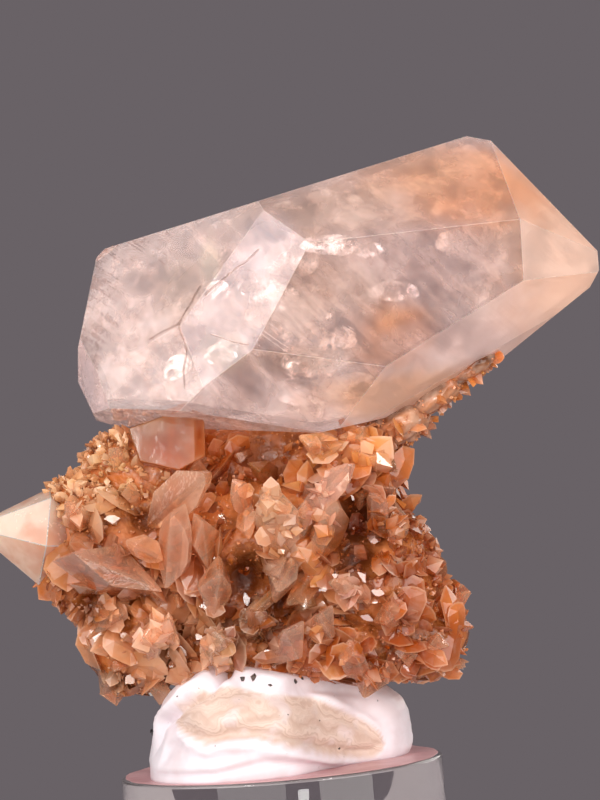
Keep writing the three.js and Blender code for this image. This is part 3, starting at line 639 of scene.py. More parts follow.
def stained(corners, tint, edge):
    """The colour at each corner: its tint between the listed ones, the zones over it, painted paler as a glow
    by its edge share, deeper at the root, and darker in the hollows as painted shade."""
    stops, tones = [stop for stop, _ in DRUSE_TINTS_AND_SHEEN], np.array([linear(*tone) for _, tone in DRUSE_TINTS_AND_SHEEN])
    colour = np.stack([np.interp(tint, stops, tones[:, channel]) for channel in range(4)], axis=1)
    ragged = ZONE_RAGGED * waves(corners, 23, 5.0, 3)
    for centre, radius, stretch, painted, share in DRUSE_ZONES:
        far = np.linalg.norm((corners - np.array(centre)) / np.array(stretch), axis=1) / radius + ragged
        colour += (np.array(linear(*painted)) - colour) * (share * np.clip(1.5 - far, 0, 1))[:, None]
    # Painted glow: corners near a crystal's outline are painted paler, for the light that comes through thin
    # edges.
    colour += (np.array(PAINTED_EDGE_GLOW) - colour) * (EDGE_GLOW_SHARE * edge)[:, None]
    buried = np.clip(1 - (rise_over_rock(corners) - BURIED_FROM) / BURIED_FADE, 0, 1)
    # Painted shade: crystals that sit back in the hollows are darkened.
    shaded = deepness(corners) * np.clip((corners[:, 1] - SHADED_FROM) / SHADED_FADE, 0, 1)
    return colour * ROOT_DEPTH ** buried[:, None] * HOLLOW_SHADE ** shaded[:, None]


print(len(DRUSE_TINTS_AND_SHEEN), "tints and", len(DRUSE_ZONES), "zones")

# %% [markdown]
# More crystals of the same kind are strewn over the lumps. They stand where the imported model has them,
# so the numbers come from the same simple stream as the imported model's, written out again here.

# %% A repeatable stream of numbers
STREWN_SEED, LOW_32_BITS = 27, 0xFFFFFFFF


def number_stream(seed):
    """A repeatable stream of numbers from 0 to 1: the state steps by a constant and is then well mixed."""
    state = seed
    while True:
        state = (state + 0x6D2B79F5) & LOW_32_BITS
        mixed = ((state ^ (state >> 15)) * (1 | state)) & LOW_32_BITS
        mixed = ((mixed + (((mixed ^ (mixed >> 7)) * (61 | mixed)) & LOW_32_BITS)) & LOW_32_BITS) ^ mixed
        yield (mixed ^ (mixed >> 14)) / (LOW_32_BITS + 1)


print("the stream starts with", round(next(number_stream(STREWN_SEED)), 4))

# %% [markdown]
# A site is drawn on one of the lumps, on the larger ones more often. Its crystal is kept where the root lies in
# the rock, and where it stays clear of the other lumps, the putty and the two crystals that were placed first.

# %% Strewn blades
STREWN_COUNT, STREWN_LONG, STREWN_FLOOR, CRYSTAL_MARGIN = 84, (4.2, 8.5), 31, 2.5
STREWN_WIDE, STREWN_THICK, STREWN_SUNK, STREWN_LEAN = 0.62, 0.42, 0.42, 0.75
SITE_LEVEL, ROOT_LEVEL = 0.9, 0.8


def lump_weights(lumps):
    """The half sizes of the lumps, and a weight for each that grows with its surface."""
    halves = np.array([lump[1] for lump in lumps], dtype=float)
    return halves, halves[:, 0] * halves[:, 1] + halves[:, 1] * halves[:, 2] + halves[:, 0] * halves[:, 2]


def reach_out(places, planes):
    """How far places lie outside a solid: the largest signed distance to its planes, negative inside."""
    normals = np.array([plane[0] for plane in planes])
    offsets = np.array([plane[1] for plane in planes])
    return (places @ normals.T - offsets).max(axis=-1)


def strewn_blades():
    """Blades on the lumps: a random site on an ellipsoid, its outward direction shaken, kept if it is free."""
    stream = number_stream(STREWN_SEED)

    def draw():
        return next(stream)

    def spread():
        return np.array([2 * draw() - 1, 2 * draw() - 1, 2 * draw() - 1])

    halves, weights = lump_weights(ROCK_LUMPS)
    blades = []
    while len(blades) < STREWN_COUNT:
        number = int(np.searchsorted(np.cumsum(weights), draw() * weights.sum()))
        lump = ROCK_LUMPS[number]
        direction, turn, half = unit(spread()), tilt_matrix(lump[2]), halves[number]
        site = turn @ (direction * half * SITE_LEVEL) + np.array(lump[0])
        along = unit(unit(turn @ (direction / half)) + spread() * STREWN_LEAN)
        long = STREWN_LONG[0] + (STREWN_LONG[1] - STREWN_LONG[0]) * draw() ** 2
        facing = spread()
        root, tip = site - along * STREWN_SUNK * long, site + along * (1 - STREWN_SUNK) * long
        if any(depth_in(site, other) < SITE_LEVEL for other in ROCK_LUMPS if other is not lump):
            continue
        if depth_in(root, lump) > ROOT_LEVEL or site[2] < STREWN_FLOOR or tip[2] < STREWN_FLOOR - 1:
            continue
        if min(reach_out(tip, crystal_planes), reach_out(tip, point_planes)) < CRYSTAL_MARGIN:
            continue
        wide = long * STREWN_WIDE * (0.8 + 0.4 * draw())
        thick = long * STREWN_THICK * (0.8 + 0.4 * draw())
        blades.append((root, tip, wide, thick, facing))
    return blades


strewn = strewn_blades()
strewn_solids = [
    small_crystal(len(FRONT_BLADES) + number, blade) for number, blade in enumerate(strewn)
    if reach_out(np.add(blade[0], blade[1]) / 2, block_planes) > 0.5]
print("first strewn blade", np.round(strewn[0][0], 2), np.round(strewn[0][1], 2))
blade_corners, blade_faces, blade_owner, blade_core = with_middles(*gather(front_solids + strewn_solids))
blade_tint = np.random.default_rng(5).random(len(front_solids) + len(strewn_solids))
blades = add_piece(
    "druse_blades", blade_corners * MM, blade_faces, smooth=True,
    stain=stained(blade_corners, blade_tint[blade_owner], 1 - blade_core))

# %% [markdown]
# Between the blades the rock is overgrown with fine crystals, and those with grains of drusy sugar. All are
# copies of a few template crystals: blades, dogteeth, leaves and grains. A template is repeated hundreds of
# times, so it has few faces, and its length is 1, which makes it easy to stretch.

# %% Template crystals
LEAF_RIM = 0.14


def template_blade(wide=0.5, thick=0.3, ridge=18, taper=34, skew=0.25):
    """A blade of length 1 along Z, with its middle at the origin."""
    return solid_of(
        blade_planes((0, 0, -0.5), (0, 0, 0.5), wide, thick, FACE_FRONT, ridge, taper, skew), merge=1e-4)


def template_dogtooth(slope=0.42, zigzag=14):
    """Six steep faces to each tip, turned a little in pairs, so that their belt runs in a zigzag."""
    planes = []
    for number in range(6):
        middle = 60 * number
        for sign in (-1, 1):
            angle = math.radians(middle + sign * (zigzag if number % 2 else -zigzag))
            outward = np.array([math.cos(angle), math.sin(angle), slope * sign])
            planes.append(plane_along(outward, (0, 0, 0.5 * sign), 0))
    return solid_of(planes, merge=1e-4)


def template_leaf(points, wide, thick, seed):
    """A leaf of length 1 along Z: an oval outline whose radius is shaken, a ring a little inside it, and a
    short ridge, on both of its faces."""
    turn = np.arange(points) * 2 * math.pi / points
    reach = 1 + np.random.default_rng(seed).uniform(-0.16, 0.1, points)
    outline = np.stack([wide / 2 * np.sin(turn) * reach, 0 * turn, 0.5 * np.cos(turn) * reach], axis=1)
    ring = outline * (1 - LEAF_RIM) + np.array([0, thick / 2 * LEAF_RIM * 1.3, 0])
    ridge = np.array([(0.1 * wide, thick / 2, 0.17), (-0.06 * wide, thick / 2, -0.2)])
    front = np.concatenate([ring, ridge])
    quarter, first = points // 4, points
    high, low = first + points, first + points + 1
    faces = []
    for n in range(points):
        after = (n + 1) % points
        faces += [[n, after, first + after, first + n],
                  [first + n, first + after, low if quarter <= n < 3 * quarter else high]]
    faces += [[first + quarter, low, high], [first + 3 * quarter, high, low]]
    shift = len(front)
    back = [[i + shift * (i >= first) for i in reversed(face)] for face in faces]
    return np.concatenate([outline, front, front * [1, -1, 1]]), faces + back


def template_grain():
    """A steep double pyramid on a triangle, of length 1 along Z."""
    ring = [(0.34 * math.cos(turn), 0.34 * math.sin(turn), 0.1) for turn in np.radians([20, 140, 260])]
    corners = np.array([(0, 0, 0.5)] + ring + [(0, 0, -0.5)])
    faces = [[0, 1, 2], [0, 2, 3], [0, 3, 1], [4, 2, 1], [4, 3, 2], [4, 1, 3]]
    return corners, faces


LEAF_SHAPES = [template_leaf(*leaf) for leaf in ((12, 0.62, 0.2, 3), (12, 0.5, 0.24, 4), (8, 0.72, 0.18, 5))]
CRYSTAL_SHAPES = LEAF_SHAPES + [
    template_dogtooth(0.4), template_blade(0.55, 0.22, 14, 26), template_dogtooth(0.5, 20)]
print(len(CRYSTAL_SHAPES), "crystal shapes with", [len(faces) for _, faces in CRYSTAL_SHAPES], "faces")

# %% [markdown]
# Each copy needs a site on the rock and the way that the rock faces there. Random directions on the lumps give
# both at once, and a site that lies inside another lump isn't used.

# %% Sites on the rock
TRIES_PER_SITE, OPEN_SHARE = 6, 0.985


def outward_on(lump, directions):
    """The outward normal of a tilted ellipsoid where unit directions meet it."""
    return unit(directions / np.array(lump[1])) @ tilt_matrix(lump[2]).T


def lump_sites(count, random, lumps, level, floor_height):
    """Random places on a level of the lumps' ellipsoids and their outward normals, kept where they are open."""
    halves, weights = lump_weights(lumps)
    tries = TRIES_PER_SITE * count
    owner = random.choice(len(lumps), tries, p=weights / weights.sum())
    directions = unit(random.normal(size=(tries, 3)))
    places, outward = np.zeros((tries, 3)), np.zeros((tries, 3))
    for number, lump in enumerate(lumps):
        mine = owner == number
        reached = directions[mine] * halves[number] * level
        places[mine] = reached @ tilt_matrix(lump[2]).T + np.array(lump[0])
        outward[mine] = outward_on(lump, directions[mine])
    free = places[:, 2] > floor_height
    for number, lump in enumerate(lumps):
        free &= (depth_in(places, lump) > level * OPEN_SHARE) | (owner == number)
    print(int(free.sum()), "open sites for", count)
    return places[free][:count], outward[free][:count]

# %% [markdown]
# numpy stretches, turns and places all the copies of a template at once. Each copy gets its own girth and tint,
# and its corners know how near they are to the template's outline, where the colour is painted paler as a
# glow, for the light that comes through thin edges.

# %% Copies of a template
EDGE_SHARPNESS = 5


def frames_along(along, facing):
    """Three axes per copy: side, broad way and the long way, as the columns of its turn."""
    broad = unit(facing - along * (facing * along).sum(axis=1, keepdims=True))
    return np.stack([np.cross(broad, along), broad, along], axis=2)


def placed(template, places, along, facing, long, girth, random):
    """Copies of a template stretched by their lengths, turned along their ways, and moved to their places, with
    a tint for each copy and a value that is 1 along the template's outline."""
    corners, faces = template
    count = len(places)
    turns = frames_along(along, facing)
    stretch = long[:, None] * random.uniform([girth[0], girth[0], 1.0], [girth[1], girth[1], 1.0], (count, 3))
    copies = np.einsum("nij,nkj->nki", turns, corners[None] * stretch[:, None]) + places[:, None]
    starts = np.arange(count) * len(corners)
    many_faces = [[int(start) + i for i in face] for start in starts for face in faces]
    edge = np.clip(1 - EDGE_SHARPNESS * np.abs(corners[:, 1]) / np.abs(corners[:, 1]).max(), 0, 1)
    tint = np.repeat(random.random(count), len(corners))
    return copies.reshape(-1, 3), many_faces, tint, np.tile(edge, count)


# %% [markdown]
# The copies of one kind go into one mesh. A copy is left out where its tip would come near a larger crystal,
# stand too high over the rock, reach under the putty's edge, or pass the outline that the druse has on its left
# and on its right. The outlines are (height, furthest x) in mm.

# %% Copies on the sites
HIGHEST_RISE, CLEAR_SHARE = 3.4, 0.15
PUTTY_LEFT, PUTTY_LEFT_LINE, PUTTY_LINE, PUTTY_FALL = -16.0, 32.6, 33.54, 0.12
RIGHT_EDGE = [(43.0, 30.4), (49.4, 28.5), (54.3, 26.6), (59.1, 24.8), (62.4, 23.7), (67.0, 23.4), (69.0, 40.0)]
LEFT_EDGE = [(33.6, -25.4), (39.2, -26.6), (44.0, -30.0), (48.4, -34.0), (51.0, -45.0)]


def scatter(name, templates, places, outward, random, long_range, lean, sunk, girth=(0.8, 1.4), facing=None,
            power=2.0, darkest=1.0, highest=HIGHEST_RISE):
    """A piece with every template on its share of the places: lengths mostly small, leaned off the outward way,
    sunk. Copies whose tips would come near another piece, or into a hollow, are left out."""
    count = len(places)
    long = long_range[0] + (long_range[1] - long_range[0]) * random.random(count) ** power
    along = unit(outward + lean * random.uniform(-1, 1, (count, 3)))
    facing = random.normal(size=(count, 3)) if facing is None else facing
    tips = places + along * ((1 - sunk) * long)[:, None]
    gap = np.min([reach_out(tips, planes) for planes in (crystal_planes, point_planes, block_planes)], axis=0)
    free = (gap > CLEAR_SHARE * long) & (np.maximum(deepness(tips), deepness(places)) <= darkest)
    putty_line = np.where(tips[:, 0] > PUTTY_LEFT, PUTTY_LINE - PUTTY_FALL * tips[:, 0], PUTTY_LEFT_LINE)
    free &= (tips[:, 2] > putty_line) & (rise_over_rock(tips) < highest)
    left_edge, right_edge = (np.interp(tips[:, 2], *np.array(edge).T) for edge in (LEFT_EDGE, RIGHT_EDGE))
    free &= (tips[:, 0] < right_edge) & (tips[:, 0] > left_edge)
    places, along, facing, long = places[free], along[free], facing[free], long[free]
    middles = places + along * ((0.5 - sunk) * long)[:, None]
    parts = [
        placed(template, middles[n::len(templates)], along[n::len(templates)], facing[n::len(templates)],
               long[n::len(templates)], girth, random)
        for n, template in enumerate(templates)]
    corners, faces, _ = gather([part[:2] for part in parts])
    tint, edge = (np.concatenate([part[column] for part in parts]) for column in (2, 3))
    return add_piece(name, corners * MM, faces, stain=stained(corners, tint, edge))

# %% [markdown]
# Leaf-shaped crystals grow in sheaves, three side by side, a little apart and a little turned. They are the
# broad pale flakes between the blades. The fine crystals fill the rest of the rock.

# %% Sheaves of leaves, and fine crystals
SHEAF_COUNT, SHEAF_LONG, SHEAF_SIZE, SHEAF_LIFT = 460, (4.0, 9.5), 3, 0.6
FINE_COUNT, FINE_LONG = 1500, (1.6, 4.4)
GRANULAR = ROCK_LUMPS[2:4]


def sheaves(places, outward, random, size, apart):
    """Each site repeated, moved a little and leaned a little: leaves in parallel growth. They lie along the
    rock and rise from it by the lift, with their broad faces turned outwards."""
    sideways = np.cross(outward, random.normal(size=places.shape))
    leaned = unit(unit(sideways) + SHEAF_LIFT * outward)
    shift = random.uniform(-apart, apart, (len(places) * size, 3))
    leaned = unit(np.repeat(leaned, size, axis=0) + 0.3 * random.uniform(-1, 1, shift.shape))
    facing = np.repeat(outward + 0.5 * random.normal(size=places.shape), size, axis=0)
    return np.repeat(places, size, axis=0) + shift, leaned, facing


draws = np.random.default_rng(44)
sheaf_places, sheaf_outward = lump_sites(
    SHEAF_COUNT, draws, [lump for lump in ROCK_LUMPS if lump not in GRANULAR], 0.92, 31.5)
sheaf_places, sheaf_along, sheaf_facing = sheaves(sheaf_places, sheaf_outward, draws, SHEAF_SIZE, 1.5)
sheaf = scatter(
    "druse_sheaves", LEAF_SHAPES, sheaf_places, sheaf_along, draws, SHEAF_LONG, lean=0.0, sunk=0.46,
    girth=(0.8, 1.3), facing=sheaf_facing, power=1.5, darkest=0.15)
fine_sites = lump_sites(FINE_COUNT, draws, ROCK_LUMPS + CRUST_LUMPS, 0.95, 30.5)
fine = scatter("druse_fine", CRYSTAL_SHAPES, *fine_sites, draws, FINE_LONG, lean=0.6, sunk=0.42)

# %% [markdown]
# Small crystals also grow on the large blades. Random places in a few boxes, each given by its centre and half
# sizes, are kept where they lie just under a blade's skin, so that every crystal is rooted in a blade.

# %% Crystals that grow on the blades
OVERGROWTH_TRIES, OVERGROWTH_COUNT, OVERGROWTH_LONG = 14000, 460, (1.8, 5.0)
OVERGROWTH_WAY, OVERGROWTH_RISE, OVERGROWTH_SKIN = np.array([0.1, -0.9, 0.5]), 12.0, (-1.3, -0.3)
OVERGROWN = [
    (4.5, -16.0, 58.5, 6.5, 2.5, 7.5), (19.5, -12.5, 56.5, 3.5, 3.0, 6.0), (14.0, -14.0, 37.5, 8.0, 3.0, 5.0),
    (-6.0, -15.0, 40.5, 7.0, 3.0, 4.0), (13.5, -9.0, 68.5, 7.0, 4.0, 2.5), (-22.0, -12.0, 44.0, 6.0, 4.0, 4.5),
    (18.0, -13.0, 46.5, 7.0, 4.0, 4.0), (-13.0, -14.0, 43.0, 6.0, 4.0, 4.0), (-26.0, -9.0, 59.0, 5.0, 4.0, 4.0),
]

on_blades = draws.uniform((-1, -1, -1), (1, 1, 1), (OVERGROWTH_TRIES, 3))
overgrown = np.array(OVERGROWN)[draws.integers(len(OVERGROWN), size=OVERGROWTH_TRIES)]
on_blades = overgrown[:, :3] + on_blades * overgrown[:, 3:]
under_skin = np.min([reach_out(on_blades, planes) for planes in front_planes], axis=0)
in_skin = (under_skin > OVERGROWTH_SKIN[0]) & (under_skin < OVERGROWTH_SKIN[1])
on_blades = on_blades[in_skin][:OVERGROWTH_COUNT]
over_along = unit(draws.normal(size=on_blades.shape) * [1.0, 0.35, 1.0] + OVERGROWTH_WAY)
over_facing = draws.normal(size=on_blades.shape) * 0.6 + [0, -1, 0.2]
print(len(on_blades), "small crystals on the blades")
overgrowth = scatter(
    "druse_overgrowth", CRYSTAL_SHAPES, on_blades, over_along, draws, OVERGROWTH_LONG, lean=0.0, sunk=0.38,
    girth=(0.9, 1.4), facing=over_facing, power=1.4, highest=OVERGROWTH_RISE)

# %% [markdown]
# A few crystals flash. A mirror flashes when it looks halfway between the lamp and the eye, so these have their
# broad face turned there, each for one of the small lamps.

# %% Flashing crystals
GLINT_TRIES, GLINT_LONG = 110, (1.3, 3.0)
SPARKS = [place for name, place, *_ in SOFT_BOXES if name.startswith("spark")]

glint_places, glint_outward = lump_sites(GLINT_TRIES, draws, ROCK_LUMPS, 1.0, 34.0)
glint_places = glint_places[glint_outward[:, 1] < -0.5]
glint_lamps = np.array(SPARKS)[draws.integers(len(SPARKS), size=len(glint_places))]
glint_facing = unit(unit(glint_lamps - glint_places) + unit(EYE / MM - glint_places))
glint_along = unit(np.cross(glint_facing, draws.normal(size=glint_places.shape)))
glints = scatter(
    "druse_glints", [template_blade(0.7, 0.34, 1, 36), template_blade(0.5, 0.3, 1, 30, -0.3)], glint_places,
    glint_along, draws, GLINT_LONG, lean=0.0, sunk=0.5, girth=(0.9, 1.3), facing=glint_facing)

# %% [markdown]
# The upper left of the druse is granular, with short crystals close together. Grains of drusy sugar lie over
# everything, and the crust under the large crystal is the darker the nearer it lies to it.

# %% Granules, grains and crust
GRANULE_COUNT, GRANULE_LONG = 900, (1.2, 3.2)
GRAIN_COUNT, GRAIN_LONG = 4000, (0.35, 1.1)

granule_sites = lump_sites(GRANULE_COUNT, draws, GRANULAR, 0.96, 50.0)
granules = scatter("druse_granules", CRYSTAL_SHAPES, *granule_sites, draws, GRANULE_LONG, lean=0.8, sunk=0.4)
grain_sites = lump_sites(GRAIN_COUNT, draws, ROCK_LUMPS + CRUST_LUMPS, 0.97, 30.5)
grains = scatter("druse_grains", [template_grain()], *grain_sites, draws, GRAIN_LONG, lean=0.8, sunk=0.25)
# Painted shadow: the crust is darkened the nearer it lies under the large crystal.
crust_shadow = np.clip(1.6 - reach_out(crust_corners, crystal_planes) / 0.9, 0, 1)[:, None]
crust_stain = np.array(linear(196, 134, 96)) * (1 - crust_shadow) + np.array(linear(84, 42, 18)) * crust_shadow
crust = add_piece("brown_crust", crust_corners * MM, crust_faces, smooth=True, stain=crust_stain)

# %% [markdown]
# Each crack inside the crystal is a thin film that flashes where it mirrors a lamp. A flash way is the
# direction halfway between a lamp and the viewer, both bent by refraction at the face. A film is a closed
# lens: a ball squeezed almost flat and bent by a few waves.

# %% Films inside the large crystal
FLASH_WAYS = unit([(-0.23, -0.96, 0.17), (0.24, -0.97, 0.02), (-0.43, -0.84, 0.34), (0.1, -0.75, 0.65)])
FILM_COUNT, FILM_SEED, FILM_TRIES = 18, 8, 1200
FILM_INSET, FILM_MARGIN, FILM_MOST, FILM_STRAY = 3.2, 0.8, 5.5, 0.12
FILM_GRID, FILM_RAGGED, FILM_BEND = (12, 28), 0.22, 0.35
CHOSEN_FILMS = [
    ((-21.5, -6.5, 89.0), (2.6, 4.0), (-0.50, -0.80, 0.30)),
    ((-18.3, -7.5, 90.2), (1.7, 3.4), (-0.40, -0.86, 0.30)),
    ((-20.5, -6.0, 94.0), (2.2, 2.0), (-0.36, -0.84, 0.40)),
    ((14.7, -11.0, 99.0), (4.4, 1.4), (-0.22, -0.95, 0.20)),
    ((19.5, -10.5, 98.2), (2.6, 1.2), (-0.15, -0.97, 0.15)),
    ((-4.7, -8.0, 99.5), (1.2, 3.6), (-0.40, -0.86, 0.32)),
    ((-3.6, -9.5, 94.0), (2.4, 1.6), (-0.48, -0.80, 0.36)),
    ((-3.5, -12.0, 84.4), (3.0, 2.2), (-0.46, -0.82, 0.34)),
    ((-12.0, -10.5, 82.3), (2.4, 2.0), (-0.48, -0.82, 0.32)),
    ((33.0, -5.0, 108.5), (3.6, 0.9), (0.05, -0.72, 0.70)),
    ((7.5, -11.5, 77.5), (3.6, 2.2), (-0.05, -0.98, -0.15)),
    ((23.0, -10.5, 91.5), (4.2, 1.6), (-0.20, -0.96, 0.10)),
]


def film(centre, reach, facing, seed, thick=0.07):
    """A squeezed ball: two reaches across, thin along its facing, bent there by waves of both coordinates."""
    directions, faces = ball_grid(*FILM_GRID)
    flat = directions * np.array([reach[0], reach[1], thick])
    edge = 1 + FILM_RAGGED * waves(directions * np.array([1, 1, 0]), seed, 1.6, 3)
    flat[:, :2] *= edge[:, None]
    flat[:, 2] += FILM_BEND * waves(flat * np.array([1, 1, 0]), seed + 1, 6.0, 3)
    normal = unit(facing)
    side = unit(np.cross((0.1, 0.2, 1.0), normal))
    axes = np.stack([side, np.cross(normal, side), normal], axis=1)
    return flat @ axes.T + np.array(centre), faces


def random_films():
    """Films at random places inside the crystal, shrunk to stay within it, each near one of the flash ways."""
    random = np.random.default_rng(FILM_SEED)
    low, high = crystal_corners.min(axis=0), crystal_corners.max(axis=0)
    places = random.uniform(low, high, (FILM_TRIES, 3))
    depth = -reach_out(places, crystal_planes)
    inside = depth > FILM_INSET + FILM_MARGIN
    made = []
    for place, room in zip(places[inside][:FILM_COUNT], depth[inside][:FILM_COUNT]):
        reach = min(room - FILM_INSET + 2 * FILM_MARGIN, FILM_MOST) * random.uniform([0.75, 0.4], [1.0, 0.8])
        facing = FLASH_WAYS[random.integers(len(FLASH_WAYS))] + random.normal(size=3) * FILM_STRAY
        made.append((place, reach, facing))
    return made


all_films = CHOSEN_FILMS + random_films()
film_solids = [film(*each, seed=60 + 2 * number) for number, each in enumerate(all_films)]
film_corners, film_faces, _ = gather(film_solids)
escape = reach_out(film_corners, crystal_planes)
film_corners = film_corners + (MIDDLE - film_corners) * np.clip((escape + 0.5) / 12, 0, 1)[:, None]
print("films come within", round(float(-reach_out(film_corners, crystal_planes).max()), 2), "mm of the faces")
films = add_piece("crystal_films", film_corners * MM, film_faces, smooth=True)

# %% [markdown]
# Milky calcite isn't white at its surface: the milk floats inside, in a layer that follows an earlier stage of
# its growth. The layer is the crystal itself with all its planes moved inwards, and its material is mostly
# open, with clouds and streaks where the milk is.

# %% Milk layer inside the large crystal
MILK_DEPTH = 1.8
milk_corners, milk_faces = solid_of([(normal, offset - MILK_DEPTH) for normal, offset in crystal_planes])
milk = add_piece("crystal_milk", milk_corners * MM, milk_faces)

# %% [markdown]
# The putty was kneaded and pressed down by hand. Its outline is a closed curve through the points where it
# ends on the stand, and its height is a low vault with a few waves. That is one smooth surface, which needs no
# sculpting, and the folds can be pressed into it afterwards.

# %% Putty
PUTTY_FOOT = [
    (-19.5, -13), (-13, -20.5), (-4, -22.8), (2, -20.5), (7, -14), (12, -8.5), (18, -4.5), (20.6, 2), (19, 10),
    (12, 16), (2, 18.5), (-8, 17.5), (-16, 12), (-20.5, 2),
]
PUTTY_CENTRE = np.array([-1.0, -2.0])
PUTTY_AROUND, PUTTY_RINGS = 240, 90
STAND_TOP = 20.0
SHOULDER_IN, SHOULDER_RISE = 2.4, 9.0
RING_POWER, VAULT_POWER = 0.55, 0.8


def closed_spline(points, amounts):
    """The centripetal Catmull-Rom curve through a ring of points, at amounts from 0 to 1 round the ring."""
    points = np.array(points, dtype=float)
    count = len(points)
    place = np.asarray(amounts) % 1 * count
    index = np.floor(place).astype(int)
    weight = place - index
    p0, p1, p2, p3 = (points[(index + step) % count] for step in (-1, 0, 1, 2))
    t1, t2, t3 = (
        np.linalg.norm(after - before, axis=1, keepdims=True) ** 0.5
        for before, after in ((p0, p1), (p1, p2), (p2, p3)))
    weight = weight[:, None]
    leave = ((p1 - p0) / t1 - (p2 - p0) / (t1 + t2) + (p2 - p1) / t2) * t2
    reach = ((p2 - p1) / t2 - (p3 - p1) / (t2 + t3) + (p3 - p2) / t3) * t2
    cubic = 2 * p1 - 2 * p2 + leave + reach
    square = -3 * p1 + 3 * p2 - 2 * leave - reach
    return cubic * weight ** 3 + square * weight ** 2 + leave * weight + p1


def putty_top(x, y):
    """Height of the putty over the stand: a slope that falls to the right, and two slow waves."""
    slope = 15 - 0.1 * x - 0.05 * y
    return slope + 0.5 * np.sin(0.42 * x + 0.25 * y) + 0.35 * np.sin(0.31 * y - 0.5 * x + 1)


def putty_surface():
    """A ball grid: its ring radius goes to the outline by a power, its height to the vault by another."""
    directions, faces = ball_grid(PUTTY_RINGS, PUTTY_AROUND)
    ring = np.linalg.norm(directions[:, :2], axis=1)
    around = np.arctan2(directions[:, 1], directions[:, 0]) / (2 * math.pi) % 1
    edge = closed_spline(PUTTY_FOOT, around) - PUTTY_CENTRE
    flat = PUTTY_CENTRE + edge * ring[:, None] ** RING_POWER
    polar = directions[:, 2]
    lift = np.maximum(0, 0.3 + 0.7 * np.sign(polar) * np.abs(polar) ** VAULT_POWER)
    height = STAND_TOP + putty_top(flat[:, 0], flat[:, 1]) * lift
    shoulder = np.clip((height - STAND_TOP) / SHOULDER_RISE, 0, 1) * np.clip((-6 - flat[:, 0]) / 12, 0, 1)
    flat[:, 0] += SHOULDER_IN * shoulder
    return np.column_stack([flat, height]), faces


putty_plain, putty_faces = putty_surface()
print("the vault is", round(float(np.ptp(putty_plain[:, 2])), 1), "mm high")

# %% [markdown]
# The folds are lines drawn on the front as (x, z) points in mm. Two of them also bound the smear of cream. A
# fold is its line, how high it swells beside the line, and how wide.

# %% Folds of the putty
SMEAR_LOW = [
    (-15.4, 29.4), (-14.5, 28.0), (-10.8, 26.0), (-7.4, 26.6), (-3.2, 26.5), (3.0, 24.3), (7.5, 22.2),
    (11.6, 20.8), (14.2, 20.6), (15.6, 21.4), (16.2, 22.6)]
SMEAR_TOP = [
    (-15.4, 29.8), (-14.6, 31.8), (-11.0, 34.1), (-5.1, 34.2), (1.5, 32.6), (5.7, 31.2), (9.7, 28.6),
    (13.2, 26.4), (15.4, 24.4), (16.2, 22.6)]
PUTTY_FOLDS = [
    (SMEAR_LOW, -1.2, 0.8), (SMEAR_TOP, 0.4, 0.8),
    ([(-19.5, 24.5), (-17.0, 29.6), (-13.4, 32.8), (-9.6, 34.8), (-6.6, 36.8), (-4.0, 38.5)], 1.4, 0.6),
    ([(-7.6, 36.4), (-4.0, 34.9), (1.5, 33.4), (8.0, 33.0), (16.0, 30.6)], 0.8, 0.8),
    ([(-20, 21.8), (-10, 22.0), (-2, 23.4), (4, 22.2), (8, 21)], 0.35, 0.6),
    ([(-18.6, 22.4), (-16.6, 26.0), (-14.0, 27.2)], 0.5, 0.7),
    ([(-9, 28.6), (-3, 29.6), (3, 28.8), (9, 26.2), (13, 23.6)], 0.25, 0.7),
]


def off_line(places, line):
    """How far places lie above a line that is drawn on the front, from its height at their x."""
    xs, zs = np.array(line, dtype=float).T
    return places[:, 2] - np.interp(places[:, 0], xs, zs)


def fold_height(places):
    """For each fold d·exp(-d²/2): a swell on one side and a groove on the other, faded at the line's ends."""
    total = np.zeros(len(places))
    for line, swell, width in PUTTY_FOLDS:
        away = off_line(places, line) / width
        ends = np.clip((places[:, 0] - line[0][0]) / 2, 0, 1) * np.clip((line[-1][0] - places[:, 0]) / 2, 0, 1)
        total += swell * away * np.exp(0.5 - away ** 2 / 2) * ends
    return total


print(len(PUTTY_FOLDS), "folds")

# %% [markdown]
# All the folds are pressed into the vault at once, with drawn-out waves round its sides and back. The mesh also
# carries where the smear is, and how far across it each corner lies, for the material to draw its flow.

# %% The kneaded putty
FRONT_LINE, FRONT_FADE, FOOT_FADE = -5, 1.2, 1.5
# A drawn-out wave is its height, how much it is squeezed along each axis, its seed and its length in mm.
DRAWN_WAVES = [(0.35, (0.6, 0.6, 1.6), 71, 9.0), (0.1, (0.5, 0.5, 2.2), 72, 3.4)]


def kneaded(places):
    """The surface pushed outwards by the folds on its front, and by drawn-out waves all round."""
    outward = unit((places - [PUTTY_CENTRE[0], PUTTY_CENTRE[1], STAND_TOP + 6]) * [1, 1, 1.6])
    front = 1 / (1 + np.exp((places[:, 1] - FRONT_LINE) / FRONT_FADE))
    drawn = sum(height * waves(places * squeeze, seed, long, 3) for height, squeeze, seed, long in DRAWN_WAVES)
    low = np.clip((places[:, 2] - STAND_TOP) / FOOT_FADE, 0, 1)
    push = (fold_height(places) * front + drawn * (1 - 0.6 * front)) * low
    return places + outward * push[:, None]


putty_corners = kneaded(putty_plain)
smear_from, smear_to = off_line(putty_plain, SMEAR_LOW), -off_line(putty_plain, SMEAR_TOP)
smear_mask = np.clip(np.minimum(smear_from, smear_to) / 0.5 + 0.5, 0, 1) * (putty_plain[:, 1] < 2)
smear_mask *= (putty_plain[:, 0] > SMEAR_LOW[0][0]) & (putty_plain[:, 0] < SMEAR_LOW[-1][0])
print("putty from", putty_corners.min(axis=0).round(1), "to", putty_corners.max(axis=0).round(1))
smear_flow = np.clip(smear_from / (smear_from + smear_to + 1e-6), -1, 2)
putty = add_piece(
    "putty_mound", putty_corners * MM, putty_faces, smooth=True, smear=smear_mask, flow=smear_flow)

